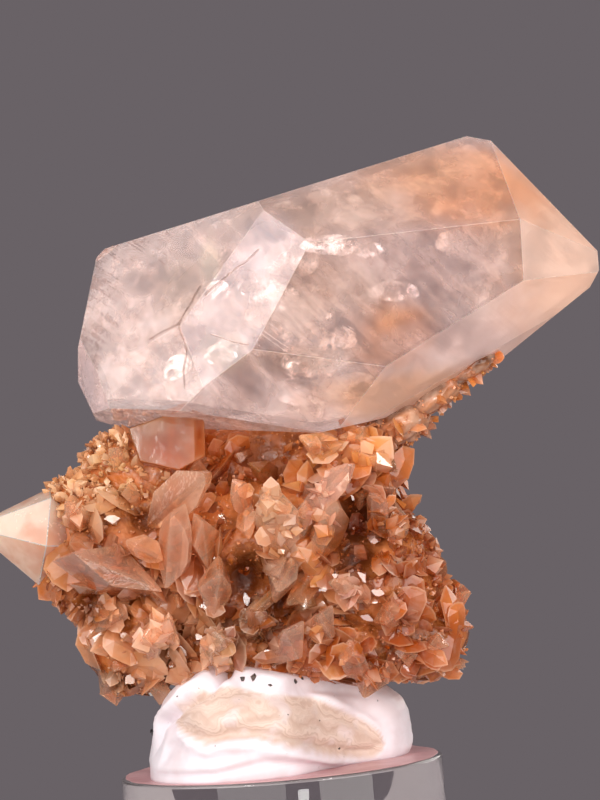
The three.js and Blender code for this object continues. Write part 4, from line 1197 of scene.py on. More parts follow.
# %% [markdown]
# A thin rosy residue of older putty covers the stand's top, bits of it are smeared along the putty's foot, and
# dark chips of grit are pressed into the putty. All are closed bodies: the bits follow the putty's outline, and
# each chip sits at the corner of the putty's front that is nearest to its spot in the photo.

# %% Crumbs and grit
CRUMB_COUNT, CRUMB_REACH = 34, 24.9
CRUMB_TURNS, CRUMB_OFFSETS, CRUMB_SIZES = (0.58, 0.86), (0.985, 1.035), ((0.5, 0.4, 0.2), (1.5, 0.9, 0.45))
RESIDUE_RADIUS, RESIDUE_THICK = 24.3, 0.08
GRIT_SPOTS = [
    ((-19.4, 27.7), 0.9), ((-19.6, 26.6), 0.6), ((-3.9, 36.0), 1.9), ((-3.0, 35.2), 1.3), ((-4.5, 35.1), 1.1),
    ((-5.2, 36.4), 1.1), ((-0.5, 34.0), 0.7), ((3.2, 33.8), 0.8), ((4.2, 33.9), 0.6), ((9.0, 22.6), 0.7),
    ((13.0, 30.7), 0.4), ((-14.5, 33.2), 0.35), ((6.5, 27.5), 0.3), ((-9.5, 26.0), 0.25), ((2.0, 29.5), 0.25),
]


def crumb_solids():
    """Squeezed balls beside the putty's foot, from its left front round to the middle of its front."""
    random = np.random.default_rng(90)
    turns = random.uniform(*CRUMB_TURNS, CRUMB_COUNT)
    feet = closed_spline(PUTTY_FOOT, turns) * random.uniform(*CRUMB_OFFSETS, (CRUMB_COUNT, 1))
    sizes = random.uniform(*CRUMB_SIZES, (CRUMB_COUNT, 3))
    directions, faces = ball_grid(8, 14)
    solids = []
    for number, (foot, size) in enumerate(zip(feet, sizes)):
        body = directions * size * (1 + 0.25 * waves(directions, 91 + number, 1.5, 2))[:, None]
        solids.append((body + [foot[0], foot[1], STAND_TOP + size[2] * 0.55], faces))
    return solids


def residue_disc():
    """A very flat turned disc on the stand's top, its rim drawn in and out by waves."""
    profile = [(0, 0), (8, 0), (16, 0), (RESIDUE_RADIUS, 0), (RESIDUE_RADIUS, 1), (16, 1), (8, 1), (0, 1)]
    corners, faces = lathe(profile, 180)
    corners[:, :2] *= 1 + 0.008 * waves(corners * [1, 1, 0], 97, 7.0, 3)[:, None]
    corners[:, 2] = STAND_TOP + corners[:, 2] * RESIDUE_THICK
    return corners, faces


residue_corners, residue_faces = residue_disc()
residue = add_piece("putty_residue", residue_corners * MM, residue_faces)

crumb_corners, crumb_faces, _ = gather(crumb_solids())
crumb_reach = np.linalg.norm(crumb_corners[:, :2], axis=1, keepdims=True)
crumb_corners[:, :2] *= np.minimum(1, CRUMB_REACH / crumb_reach)
crumbs = add_piece("putty_crumbs", crumb_corners * MM, crumb_faces, smooth=True)

grit_random = np.random.default_rng(93)
front_part = putty_corners[putty_corners[:, 1] < 0]
grit_places = np.array([
    front_part[np.argmin(np.hypot(front_part[:, 0] - x, front_part[:, 2] - z))] for (x, z), _ in GRIT_SPOTS])
grit_long = np.array([size for _, size in GRIT_SPOTS])
grit_corners, grit_faces, _, _ = placed(
    template_blade(0.8, 0.6), grit_places, unit(grit_random.normal(size=grit_places.shape)),
    grit_random.normal(size=grit_places.shape), grit_long, (0.8, 1.3), grit_random)
grit = add_piece("putty_grit", grit_corners * MM, grit_faces)

# %% [markdown]
# The stand is a turned disc of clear acrylic with polished faces. Its profile is a rectangle with small
# rounded rims, which catch a thin line of light, and it is turned about the upright axis.

# %% Stand
STAND_RADIUS, STAND_RIM, STAND_SIDES = 25.0, 0.5, 160
RIM_TURNS = np.radians([0, 22.5, 45, 67.5, 90])


def stand_profile():
    """Radius and height from the bottom's middle to the top's, with a quarter circle at each rim."""
    inner = STAND_RADIUS - STAND_RIM
    low = [(inner + STAND_RIM * math.sin(turn), STAND_RIM - STAND_RIM * math.cos(turn)) for turn in RIM_TURNS]
    high = [(radius, STAND_TOP - height) for radius, height in reversed(low)]
    return [(0, 0), (inner * 0.5, 0)] + low + high + [(inner * 0.5, STAND_TOP), (0, STAND_TOP)]


stand_corners, stand_faces = lathe(stand_profile(), STAND_SIDES)
stand = add_piece("acrylic_disc", stand_corners * MM, stand_faces, smooth=True)
stand.data.set_sharp_from_angle(angle=math.radians(50))

# %% [markdown]
# Materials come next. A few helpers keep the node code short. One adds a node and fills its sockets. The others
# are the steps that come back in every material: mixed colours, sums, vectors and stretched ranges.

# %% Node helpers
MIX_FACTOR, MIX_A, MIX_B, MIX_RESULT = 0, 6, 7, 2


def put(tree, kind, inputs=None, **settings):
    """A new node in a tree; its sockets get plain values, or links where the value is another socket."""
    made = tree.nodes.new(kind)
    for key, value in settings.items():
        setattr(made, key, value)
    for key, value in (inputs or {}).items():
        if isinstance(value, bpy.types.NodeSocket):
            tree.links.new(value, made.inputs[key])
        else:
            made.inputs[key].default_value = value
    return made


def mix(tree, mask, first, second, way="MIX"):
    """The first colour where the mask is 0 and the second where it is 1."""
    made = put(tree, "ShaderNodeMix", {MIX_FACTOR: mask, MIX_A: first, MIX_B: second},
               data_type="RGBA", blend_type=way)
    return made.outputs[MIX_RESULT]


def maths(tree, way, first, second=0.0):
    """One arithmetic step between two values or sockets."""
    return put(tree, "ShaderNodeMath", {0: first, 1: second}, operation=way).outputs[0]


def times(tree, first, second):
    """The product of two values or sockets."""
    return maths(tree, "MULTIPLY", first, second)


def plus(tree, first, second):
    """The sum of two values or sockets."""
    return maths(tree, "ADD", first, second)


def vector(tree, way, first, *more):
    """One step with vectors; a dot product or a length comes out as a plain value."""
    keys = ["Scale"] if way == "SCALE" else [1, 2]
    made = put(tree, "ShaderNodeVectorMath", {0: first, **dict(zip(keys, more))}, operation=way)
    return made.outputs["Value" if way in ("DOT_PRODUCT", "LENGTH") else "Vector"]


def span(tree, value, low, high, to_low=0.0, to_high=1.0):
    """A value taken smoothly from one range to another, and held at its ends."""
    made = put(tree, "ShaderNodeMapRange", {"Value": value, "From Min": low, "From Max": high,
               "To Min": to_low, "To Max": to_high}, interpolation_type="SMOOTHSTEP")
    return made.outputs["Result"]


# %% [markdown]
# Noise makes most of the variety of a natural stone. It is asked at a place, or with one number where bands
# are wanted, and the place may be shaken by another noise first. A step that many materials need is a group.

# %% Noise and groups
def noise(tree, place, scale, detail=2.0, rough=0.5, output="Fac"):
    """Smooth noise at a place: scale is its waves per metre, and detail and rough set its finer layers."""
    return put(tree, "ShaderNodeTexNoise", {
        "Vector": place, "Scale": scale, "Detail": detail, "Roughness": rough}).outputs[output]


def band_noise(tree, value, scale):
    """Noise of one number instead of a place, so that it makes bands."""
    return put(tree, "ShaderNodeTexNoise", {"W": value, "Scale": scale, "Detail": 2.0},
               noise_dimensions="1D").outputs["Fac"]


def shaken(tree, place, scale, reach):
    """A place moved about by a noise of a scale, by up to about half the reach each way."""
    centred = vector(tree, "SUBTRACT", noise(tree, place, scale, detail=1.0, output="Color"), (0.5, 0.5, 0.5))
    return vector(tree, "ADD", place, vector(tree, "SCALE", centred, reach))


def new_group(name, outputs=("Mask",), **inputs):
    """An empty node group with its entry's and its exit's sockets. An input's default makes its kind: a number
    makes a plain value, and a tuple or None makes a vector. Every output is a plain value."""
    group = bpy.data.node_groups.new(name, "ShaderNodeTree")
    for label, default in inputs.items():
        kind = "NodeSocketFloat" if isinstance(default, float) else "NodeSocketVector"
        socket = group.interface.new_socket(label, in_out="INPUT", socket_type=kind)
        if default is not None:
            socket.default_value = default
    for label in outputs:
        group.interface.new_socket(label, in_out="OUTPUT", socket_type="NodeSocketFloat")
    return group, group.nodes.new("NodeGroupInput").outputs, group.nodes.new("NodeGroupOutput").inputs


# %% [markdown]
# Six effects come back many times, so each is built once as a node group. A soft zone colours one part of a
# stone. Clouds and streaks are its milkiness. A crack line marks a step on a face. Wear dulls and scratches,
# and growth lines are the fine parallel ridges of a crystal face.

# %% Effect: soft zone
def build_soft_zone():
    """The share near a centre and 0 away from it: the place is scaled and moved so that the zone is a ball of
    radius 1 about the origin, and the share fades between 0.5 and 1.5, with a shake that moves the edge."""
    group, given, result = new_group(
        "soft_zone", Place=None, Scale=(1, 1, 1), Move=(0, 0, 0), Shake=0.0, Share=1.0)
    ball = vector(group, "MULTIPLY_ADD", given["Place"], given["Scale"], given["Move"])
    ragged = plus(group, vector(group, "LENGTH", ball), given["Shake"])
    share = span(group, ragged, low=0.5, high=1.5, to_low=given["Share"], to_high=0.0)
    group.links.new(share, result["Mask"])
    return group


SOFT_ZONE = build_soft_zone()
print(SOFT_ZONE.name, len(SOFT_ZONE.nodes), "nodes")

# %% Effect: clouds
def build_clouds():
    """Noise whose place is first pushed about by another noise, then cut between a low and a high value."""
    group, given, result = new_group("clouds", Place=None, Scale=120.0, Swirl=0.004, Low=0.35, High=0.65)
    place = shaken(group, given["Place"], times(group, given["Scale"], 0.7), given["Swirl"])
    cloud = noise(group, place, given["Scale"], detail=3.5, rough=0.6)
    group.links.new(span(group, cloud, given["Low"], given["High"]), result["Mask"])
    return group


CLOUDS = build_clouds()
print(CLOUDS.name, len(CLOUDS.nodes), "nodes")

# %% Effect: crack line
def build_crack_line():
    """1 near a segment, from the distance to its nearest point, seen from the front: depth is ignored."""
    group, given, result = new_group("crack_line", Place=None, Start=(0, 0, 0), End=(0, 0, 1), Width=0.0002)
    flat = vector(group, "MULTIPLY", given["Place"], (1, 0, 1))
    along = vector(group, "SUBTRACT", given["End"], given["Start"])
    from_start = vector(group, "SUBTRACT", flat, given["Start"])
    share = maths(group, "DIVIDE", vector(group, "DOT_PRODUCT", from_start, along),
                  vector(group, "DOT_PRODUCT", along, along))
    held = put(group, "ShaderNodeClamp", {"Value": share}).outputs[0]
    miss = vector(group, "SUBTRACT", from_start, vector(group, "SCALE", along, held))
    near = span(group, vector(group, "LENGTH", miss), low=0.0, high=given["Width"], to_low=1.0, to_high=0.0)
    group.links.new(near, result["Mask"])
    return group


CRACK_LINE = build_crack_line()
print(CRACK_LINE.name, len(CRACK_LINE.nodes), "nodes")

# %% Effect: streaks
def build_streaks():
    """Noise drawn out along one direction: the part of the place that lies along it is made shorter."""
    group, given, result = new_group(
        "streaks", Place=None, Along=(0.7, 0, -0.7), Shorten=0.85, Scale=500.0, Low=0.4, High=0.65)
    part = vector(group, "DOT_PRODUCT", given["Place"], given["Along"])
    taken = vector(group, "SCALE", given["Along"], times(group, part, given["Shorten"]))
    drawn_out = vector(group, "SUBTRACT", given["Place"], taken)
    streak = noise(group, drawn_out, given["Scale"], rough=0.6)
    group.links.new(span(group, streak, given["Low"], given["High"]), result["Mask"])
    return group


STREAKS = build_streaks()
print(STREAKS.name, len(STREAKS.nodes), "nodes")

# %% Effect: wear and growth lines
def build_wear():
    """Fine noise and broad noise: a roughness between two values, and a height for a bump."""
    group, given, result = new_group(
        "wear", ("Roughness", "Height"), Place=None, Scale=900.0, Polish=0.04, Dull=0.2)
    broad = noise(group, given["Place"], times(group, given["Scale"], 0.2))
    fine = noise(group, given["Place"], given["Scale"], detail=1.0, rough=0.6)
    patches, specks = span(group, broad, low=0.42, high=0.7), span(group, fine, low=0.5, high=0.75)
    total = plus(group, times(group, patches, 0.6), times(group, specks, 0.4))
    rough = span(group, total, low=0.0, high=1.0, to_low=given["Polish"], to_high=given["Dull"])
    group.links.new(rough, result["Roughness"])
    group.links.new(plus(group, times(group, fine, 0.2), broad), result["Height"])
    return group


def build_growth_lines():
    """Ridges across one direction: the place along it, bent by a slow noise, drives a fine one-way noise."""
    group, given, result = new_group(
        "growth_lines", ("Height",), Place=None, Across=(1, 0, 0), Scale=700.0)
    bend = times(group, noise(group, given["Place"], scale=60.0, detail=0.0), 0.0025)
    bent = plus(group, vector(group, "DOT_PRODUCT", given["Place"], given["Across"]), bend)
    fade = span(group, noise(group, given["Place"], scale=90.0, detail=1.0), low=0.4, high=0.62)
    group.links.new(times(group, band_noise(group, bent, given["Scale"]), fade), result["Height"])
    return group


WEAR, GROWTH_LINES = build_wear(), build_growth_lines()
print(len(bpy.data.node_groups), "effects")

# %% [markdown]
# Every material is made in the same steps: a shader with its plain values, a colour, the wear that sets its
# roughness, and where the surface has relief, a bump. These helpers are one for each step.

# %% Material helpers
def effect(tree, group, **inputs):
    """A node group placed in a material, its named sockets filled, and its outputs by name."""
    return put(tree, "ShaderNodeGroup", inputs, node_tree=group).outputs


def new_material(name, **constants):
    """A material with its tree, its shader with the plain values set, and its Object coordinates."""
    material = bpy.data.materials.new(name)
    material.use_nodes = True
    tree = material.node_tree
    shader = tree.nodes["Principled BSDF"]
    for key, value in constants.items():
        shader.inputs[key.replace("_", " ")].default_value = value
    return material, tree, shader, tree.nodes.new("ShaderNodeTexCoord").outputs["Object"]


def paint(tree, shader, colour):
    """A colour on a shader."""
    tree.links.new(colour, shader.inputs["Base Color"])


def wear(tree, shader, place, scale, polish, dull, more=None):
    """Wear on a shader's roughness, between polish and dull, with more added where it is given."""
    worn = effect(tree, WEAR, Place=place, Scale=scale, Polish=polish, Dull=dull)
    rough = worn["Roughness"] if more is None else plus(tree, worn["Roughness"], more)
    tree.links.new(rough, shader.inputs["Roughness"])
    return worn


def bump(tree, shader, height, distance):
    """A bump of a real height in metres on a shader."""
    made = put(tree, "ShaderNodeBump", {"Height": height, "Distance": distance})
    tree.links.new(made.outputs["Normal"], shader.inputs["Normal"])


def clouds(tree, place, scale, swirl, low, high):
    """The mask of clouds of a scale, cut between a low and a high value."""
    return effect(tree, CLOUDS, Place=place, Scale=scale, Swirl=swirl, Low=low, High=high)["Mask"]


def streaks(tree, place, along, scale, low, high):
    """The mask of streaks along a direction, cut between a low and a high value."""
    return effect(tree, STREAKS, Place=place, Along=along, Scale=scale, Low=low, High=high)["Mask"]


def growth_lines(tree, place, across, scale):
    """The height of fine ridges across a direction."""
    return effect(tree, GROWTH_LINES, Place=place, Across=across, Scale=scale)["Height"]


def carried(tree, name, output="Fac"):
    """The value or colour that the mesh carries under a name."""
    return put(tree, "ShaderNodeAttribute", attribute_name=name).outputs[output]


# %% [markdown]
# Light also goes into a stone. What it loses on its way is the stone's warmth, and lamps have to reach what
# lies inside. The plainer finishes are all two tones in clouds with wear, so one helper makes them.

# %% Light inside, and plain finishes
def absorb(tree, colour, density):
    """Colour taken from the light on its way through the stone; plain values, so that the export keeps them."""
    volume = put(tree, "ShaderNodeVolumeAbsorption", {"Color": colour, "Density": density})
    tree.links.new(volume.outputs[0], tree.nodes["Material Output"].inputs["Volume"])


def lets_lamps_through(tree, shader, share, colour=(1.0, 0.93, 0.88, 1.0)):
    """Lamps see the surface partly open, so that they light what is inside; the eye still sees it whole."""
    ray = tree.nodes.new("ShaderNodeLightPath").outputs["Is Shadow Ray"]
    open_surface = put(tree, "ShaderNodeBsdfTransparent", {"Color": colour})
    mixed = put(tree, "ShaderNodeMixShader", {
        0: times(tree, ray, share), 1: shader.outputs[0], 2: open_surface.outputs[0]})
    tree.links.new(mixed.outputs[0], tree.nodes["Material Output"].inputs["Surface"])


def cloudy(name, worn, cloud=None, tones=(), **constants):
    """A finish of two screen colours in clouds, with wear; cloud and worn are what those two helpers are asked.
    Without a cloud, the colour is one of the constants."""
    material, tree, shader, place = new_material(name, **constants)
    if cloud:
        paint(tree, shader, mix(tree, clouds(tree, place, **cloud), *(linear(*tone) for tone in tones)))
    wear(tree, shader, place, **worn)
    return material, tree, shader, place


# %% [markdown]
# A finish is put on a piece as its first material. The rounded edges of a crystal may take a second one, which
# is rougher, because the edges of a soft stone are bruised, and paler, as a painted highlight.

# %% Dressing a piece
def dress(finish, *pieces):
    """The same finish on each of the pieces."""
    for piece in pieces:
        piece.data.materials.append(finish)
    print(finish.name, len(finish.node_tree.nodes), "nodes, on", ", ".join(piece.name for piece in pieces))


def bevelled(piece, width_mm, edge_material=None, angle=12.0):
    """Rounds every edge of a piece by a real width; the rounding may take a material of its own."""
    made = piece.modifiers.new("edges", "BEVEL")
    made.width = width_mm * MM
    made.segments = 2
    made.limit_method = "ANGLE"
    made.angle_limit = math.radians(angle)
    made.harden_normals = True
    if edge_material:
        piece.data.materials.append(edge_material)
        made.material = len(piece.data.materials) - 1


# %% [markdown]
# The large crystal is see-through with a milky share. Its clearness is plain transmission with calcite's
# refraction, its warmth is absorption, and the milk is the part of the surface that stays solid and scatters
# light under it. Clouds and zones change only the colour.

# %% Zones of stains and painted light, and cracks
MILK, MILK_GREY, PAINTED_FACE_SHADE, PAINTED_FACE_SHEEN = (250, 235, 235), (226, 202, 198), (196, 190, 192), (250, 238, 250)
PAINTED_CREAM_GLOW, PEACH, BEIGE, PAINTED_LAVENDER_SHADE = (255, 244, 226), (240, 182, 138), (208, 178, 156), (212, 194, 198)
PAINTED_GREY_SHADE, CRACK_BROWN = (176, 164, 170), (140, 104, 90)
# Most zones are stains; the grey and lavender ones are painted shade, and the cream ones a painted glow.
CRYSTAL_STAINS_AND_PAINTED_LIGHT = [
    ((50.0, -6.0, 96.0), 13.0, (1.0, 1.2, 1.1), (248, 210, 184), 0.9),
    ((45.0, -6.0, 104.5), 7.5, (1.0, 1.2, 0.9), (244, 196, 164), 0.7),
    ((35.5, -6.0, 106.5), 9.0, (1.3, 1.2, 0.75), (250, 164, 104), 0.85),
    ((27.0, -5.0, 110.0), 7.0, (1.5, 1.2, 0.6), PEACH, 0.6),
    ((14.0, -8.0, 104.3), 9.0, (1.5, 1.0, 0.45), BEIGE, 0.6),
    ((21.8, -12.0, 85.0), 5.8, (1.2, 1.2, 0.8), (255, 176, 118), 0.95),
    ((4.0, -11.0, 100.0), 4.5, (1.0, 1.4, 1.1), (242, 232, 242), 0.8),
    ((25.0, -11.0, 76.0), 9.0, (1.8, 1.4, 0.4), PEACH, 0.8),
    ((29.0, -12.0, 83.5), 7.0, (1.6, 1.0, 0.5), PAINTED_LAVENDER_SHADE, 0.6),
    ((8.0, -13.0, 82.6), 7.0, (1.5, 1.0, 0.28), BEIGE, 0.45),
    ((27.0, -12.0, 95.0), 8.0, (1.6, 1.0, 0.6), PAINTED_LAVENDER_SHADE, 0.5),
    ((12.0, -12.0, 92.5), 8.0, (1.2, 1.0, 0.8), BEIGE, 0.5),
    ((-9.8, -9.0, 96.0), 5.6, (0.8, 1.2, 1.1), BEIGE, 0.6),
    ((-4.6, -9.0, 99.5), 2.6, (0.6, 2.0, 1.6), PAINTED_CREAM_GLOW, 0.85),
    ((-3.6, -13.0, 84.6), 3.2, (1.2, 1.6, 0.9), PAINTED_CREAM_GLOW, 0.8),
    ((-26.0, -4.0, 81.5), 5.0, (0.5, 1.6, 1.3), PAINTED_GREY_SHADE, 0.9),
    ((-21.5, -7.0, 91.6), 2.6, (0.8, 2.0, 1.3), PAINTED_GREY_SHADE, 0.6),
    ((15.0, -12.0, 86.0), 4.0, (1.3, 1.4, 1.0), MILK, 0.6),
]
CRACKS = [
    ((3.2, 99.7), (-5.7, 93.4), 0.22), ((-6.4, 94.9), (-9.9, 89.8), 0.2), ((-9.9, 89.8), (-14.9, 87.6), 0.2),
    ((-9.9, 89.8), (-9.4, 85.5), 0.18), ((-9.4, 85.5), (-9.9, 79.8), 0.18), ((-4.8, 87.2), (0.4, 85.3), 0.16),
]
print(len(CRYSTAL_STAINS_AND_PAINTED_LIGHT), "zones and", len(CRACKS), "cracks")

# %% [markdown]
# The stone's own material comes next. Its steps are the milk's clouds, the zones of stains and of painted
# shade and glow, the tone of each face, which is painted shade or sheen, the cracks, the wear, the growth
# lines, and what the stone takes from the light inside.

# %% The clear stone
ZONE_SHAKE, CRACK_STRENGTH, CRACK_DEPTH, WEAR_RELIEF = 0.8, 0.6, 4.0, 0.4


def zones(tree, place, colour, areas):
    """Colours laid over one another, each in its soft zone: (centre mm, radius mm, stretch, colour, share).
    One noise about 0 makes the edges of all the zones ragged."""
    shake = times(tree, maths(tree, "SUBTRACT", noise(tree, place, scale=190.0), 0.5), ZONE_SHAKE)
    for centre, radius, stretch, painted, share in areas:
        scale = 1 / (np.array(stretch) * radius * MM)
        move = -np.array(centre) * MM * scale
        mask = effect(tree, SOFT_ZONE, Place=place, Scale=tuple(scale), Move=tuple(move), Shake=shake,
                      Share=share)["Mask"]
        colour = mix(tree, mask, colour, linear(*painted))
    return colour


def crack_mask(tree, place):
    """The strongest of all the crack lines at a place."""
    dent = None
    for (x, z), (end_x, end_z), width in CRACKS:
        line = effect(tree, CRACK_LINE, Place=place, Start=(x * MM, 0, z * MM), End=(end_x * MM, 0, end_z * MM),
                      Width=width * MM)["Mask"]
        dent = line if dent is None else maths(tree, "MAXIMUM", dent, line)
    return dent


def clear_calcite():
    """Clear crystal with a share of milk: clouds between two milks, zones of stains and of painted shade and
    glow, faces in painted shade or sheen, cracks and growth lines.
    """
    material, tree, shader, place = new_material(
        "clear_calcite", Transmission_Weight=0.82, IOR=1.54, Subsurface_Weight=0.4, Subsurface_Scale=0.01,
        Subsurface_Radius=(1.0, 0.75, 0.62), Specular_IOR_Level=0.6)
    cloud = clouds(tree, place, scale=170.0, swirl=0.008, low=0.3, high=0.7)
    colour = zones(tree, place, mix(tree, cloud, linear(*MILK_GREY), linear(*MILK)), CRYSTAL_STAINS_AND_PAINTED_LIGHT)
    # The tone that each face carries is painted light: shade on dim faces and a sheen on the brightest.
    tone = carried(tree, "tone")
    colour = mix(tree, tone, mix(tree, 1.0, colour, linear(*PAINTED_FACE_SHADE), "MULTIPLY"), colour)
    painted_sheen_share = span(tree, tone, low=0.9, high=1.0, to_low=0.0, to_high=0.45)
    colour = mix(tree, painted_sheen_share, colour, linear(*PAINTED_FACE_SHEEN))
    dent = crack_mask(tree, shaken(tree, place, scale=200.0, reach=0.0016))
    paint(tree, shader, mix(tree, times(tree, dent, CRACK_STRENGTH), colour, linear(*CRACK_BROWN)))
    worn = wear(tree, shader, place, scale=1400.0, polish=0.02, dull=0.12, more=carried(tree, "satin"))
    lines = growth_lines(tree, place, across=(0.62, 0.0, 0.78), scale=900.0)
    height = plus(tree, lines, times(tree, worn["Height"], WEAR_RELIEF))
    height = maths(tree, "SUBTRACT", height, times(tree, dent, CRACK_DEPTH))
    bump(tree, shader, height, distance=0.00004)
    absorb(tree, colour=(0.93, 0.82, 0.76, 1.0), density=5.0)
    lets_lamps_through(tree, shader, share=0.8)
    return material


dress(clear_calcite(), large)

# %% [markdown]
# What the large crystal has inside and along its edges are three more finishes: the milk layer is mostly open,
# the films mirror in patches, and the edges are rough, as bruised edges are, and painted pale as a highlight.

# %% Milk, films and bruised edges
MILK_CLOUDS, MILK_STREAKS, MILK_LEAST, FILM_SHARE = 0.34, 0.18, 0.05, 0.6


def crystal_milk():
    """A milk layer: open, with soft clouds and slanting streaks."""
    material, tree, shader, place = new_material("crystal_milk", Specular_IOR_Level=0.2, Roughness=0.5)
    cloud = clouds(tree, place, scale=130.0, swirl=0.01, low=0.36, high=0.7)
    streak = streaks(tree, place, along=(0.64, 0.1, -0.76), scale=520.0, low=0.46, high=0.68)
    milk_share = plus(tree, times(tree, cloud, MILK_CLOUDS), times(tree, streak, MILK_STREAKS))
    tree.links.new(plus(tree, milk_share, MILK_LEAST), shader.inputs["Alpha"])
    paint(tree, shader, mix(tree, cloud, linear(250, 224, 210), linear(255, 246, 242)))
    return material


def calcite_edge_highlight():
    """The edge: rougher than the faces, as a bruised edge is, and painted paler as a highlight, so that it
    draws a thin light line.
    """
    material, tree, shader, place = new_material(
        "calcite_edge_highlight", Transmission_Weight=0.5, IOR=1.54, Subsurface_Weight=0.3, Subsurface_Scale=0.004)
    worn = wear(tree, shader, place, scale=2200.0, polish=0.16, dull=0.5)
    # Painted highlight: the edge is painted paler than the faces.
    paint(tree, shader, mix(tree, worn["Roughness"], linear(255, 246, 240), linear(240, 220, 208)))
    absorb(tree, colour=(0.93, 0.80, 0.72, 1.0), density=9.0)
    return material


def crystal_film():
    """A crack's film: a thin mirror that is only partly there, so that clouds make it come and go."""
    material, tree, shader, place = new_material("crystal_film", Metallic=0.8)
    cloud = clouds(tree, place, scale=300.0, swirl=0.004, low=0.38, high=0.62)
    tree.links.new(times(tree, cloud, FILM_SHARE), shader.inputs["Alpha"])
    paint(tree, shader, mix(tree, cloud, linear(244, 226, 214), linear(255, 252, 250)))
    worn = wear(tree, shader, place, scale=1200.0, polish=0.12, dull=0.4)
    bump(tree, shader, worn["Height"], distance=0.0003)
    return material


EDGE_HIGHLIGHT = calcite_edge_highlight()
bevelled(large, 0.22, EDGE_HIGHLIGHT, angle=3.0)
dress(crystal_film(), films)
dress(crystal_milk(), milk)

# %% [markdown]
# The druse crystals are the same mineral, but less clear. Their colour comes from the attribute that the
# mesh carries, with small pale clouds and rusty streaks inside each crystal. The rock between them is dull.

# %% Druse materials
PALE_CLOUD, RUSTY_STREAK = linear(255, 226, 204), linear(214, 112, 40)
CLOUD_SHARE, STREAK_SHARE, GRIT_SHARE = 0.3, 0.4, 0.4


def druse_crystal(name, clear, polish, dull, ripple=0.0, mottle=1.0, cloud_scale=330.0, lit_inside=False,
                  **constants):
    """Calcite with iron stains: the colour that the mesh carries, stains with painted shade, glow and sheen,
    small clouds and streaks, and a share that is see-through.
    """
    material, tree, shader, place = new_material(name, Transmission_Weight=clear, IOR=1.52, **constants)
    cloud = clouds(tree, place, scale=cloud_scale, swirl=0.003, low=0.42, high=0.7)
    # The carried colour holds the iron stains and also painted shade, painted glow and painted sheen.
    colour = mix(tree, times(tree, cloud, CLOUD_SHARE * mottle), carried(tree, "stain", "Color"), PALE_CLOUD)
    streak = streaks(tree, place, along=(0.1, 0.3, 0.95), scale=260.0, low=0.5, high=0.72)
    paint(tree, shader, mix(tree, times(tree, streak, STREAK_SHARE * mottle), colour, RUSTY_STREAK))
    if lit_inside:
        lets_lamps_through(tree, shader, share=0.5, colour=(1.0, 0.72, 0.5, 1.0))
    worn = wear(tree, shader, place, scale=2600.0, polish=polish, dull=dull)
    if ripple:
        bump(tree, shader, worn["Height"], distance=ripple)
    return material


def brown_rock():
    """The matrix between the crystals: brown with rusty patches, painted darker in the hollows as shade,
    coarse and dull.
    """
    material, tree, shader, place = new_material("brown_rock")
    patches = clouds(tree, place, scale=160.0, swirl=0.004, low=0.35, high=0.65)
    colour = mix(tree, patches, linear(120, 62, 26), linear(196, 112, 56))
    grit = clouds(tree, place, scale=900.0, swirl=0.001, low=0.45, high=0.7)
    colour = mix(tree, times(tree, grit, GRIT_SHARE), colour, linear(206, 136, 84))
    # Painted shade: the rock is darkened in the hollows.
    paint(tree, shader, mix(tree, carried(tree, "deep"), colour, linear(92, 42, 16)))
    worn = wear(tree, shader, place, scale=1600.0, polish=0.2, dull=0.7)
    bump(tree, shader, worn["Height"], distance=0.0005)
    return material


def pale_point_calcite():
    """The dogtooth point: creamy and cloudy, with a little clearness near its faces."""
    material, tree, shader, place = cloudy(
        "pale_point_calcite", cloud=dict(scale=150.0, swirl=0.006, low=0.36, high=0.68),
        tones=((222, 168, 142), (243, 210, 190)), worn=dict(scale=1500.0, polish=0.07, dull=0.3),
        Transmission_Weight=0.2, IOR=1.54, Subsurface_Weight=0.6, Subsurface_Scale=0.008,
        Subsurface_Radius=(1.0, 0.72, 0.55))
    lines = growth_lines(tree, place, across=(0.3, 0.2, 0.93), scale=1100.0)
    bump(tree, shader, lines, distance=0.00006)
    absorb(tree, colour=(0.95, 0.82, 0.70, 1.0), density=20.0)
    return material


dress(druse_crystal(
    "peach_blades", clear=0.7, polish=0.02, dull=0.12, ripple=0.0001, mottle=0.7, lit_inside=True), blades)
dress(druse_crystal(
    "peach_fine", clear=0.5, polish=0.02, dull=0.14, mottle=0.75, lit_inside=True), sheaf, fine, overgrowth)
dress(druse_crystal("peach_glints", clear=0.5, polish=0.07, dull=0.12, Specular_IOR_Level=0.2), glints)
dress(druse_crystal("peach_grains", clear=0.1, polish=0.08, dull=0.3), granules, grains, crust)
dress(druse_crystal(
    "peach_block", clear=0.6, polish=0.04, dull=0.16, ripple=0.000015, mottle=0.8, cloud_scale=120.0,
    lit_inside=True, Specular_IOR_Level=0.35, Subsurface_Weight=0.5, Subsurface_Scale=0.006,
    Subsurface_Radius=(1.0, 0.6, 0.4)), block)
dress(brown_rock(), rock)
dress(pale_point_calcite(), point)
bevelled(blades, 0.16)
bevelled(block, 0.3)
bevelled(point, 0.1, EDGE_HIGHLIGHT)

# %% [markdown]
# Putty is soft and matt, white with a rosy cast, and it has a smear of cream that was folded into it. The
# stand is clear acrylic: full transmission, its own refraction, and very light wear from handling. The grit
# and the rosy residue are two tones in clouds, and the floor is one tone.

# %% Putty, acrylic and floor materials
FLOW_WANDER, THIN_LINES, PUTTY_WEAR, BAND_RELIEF = 1.1, 0.4, 0.25, 0.2


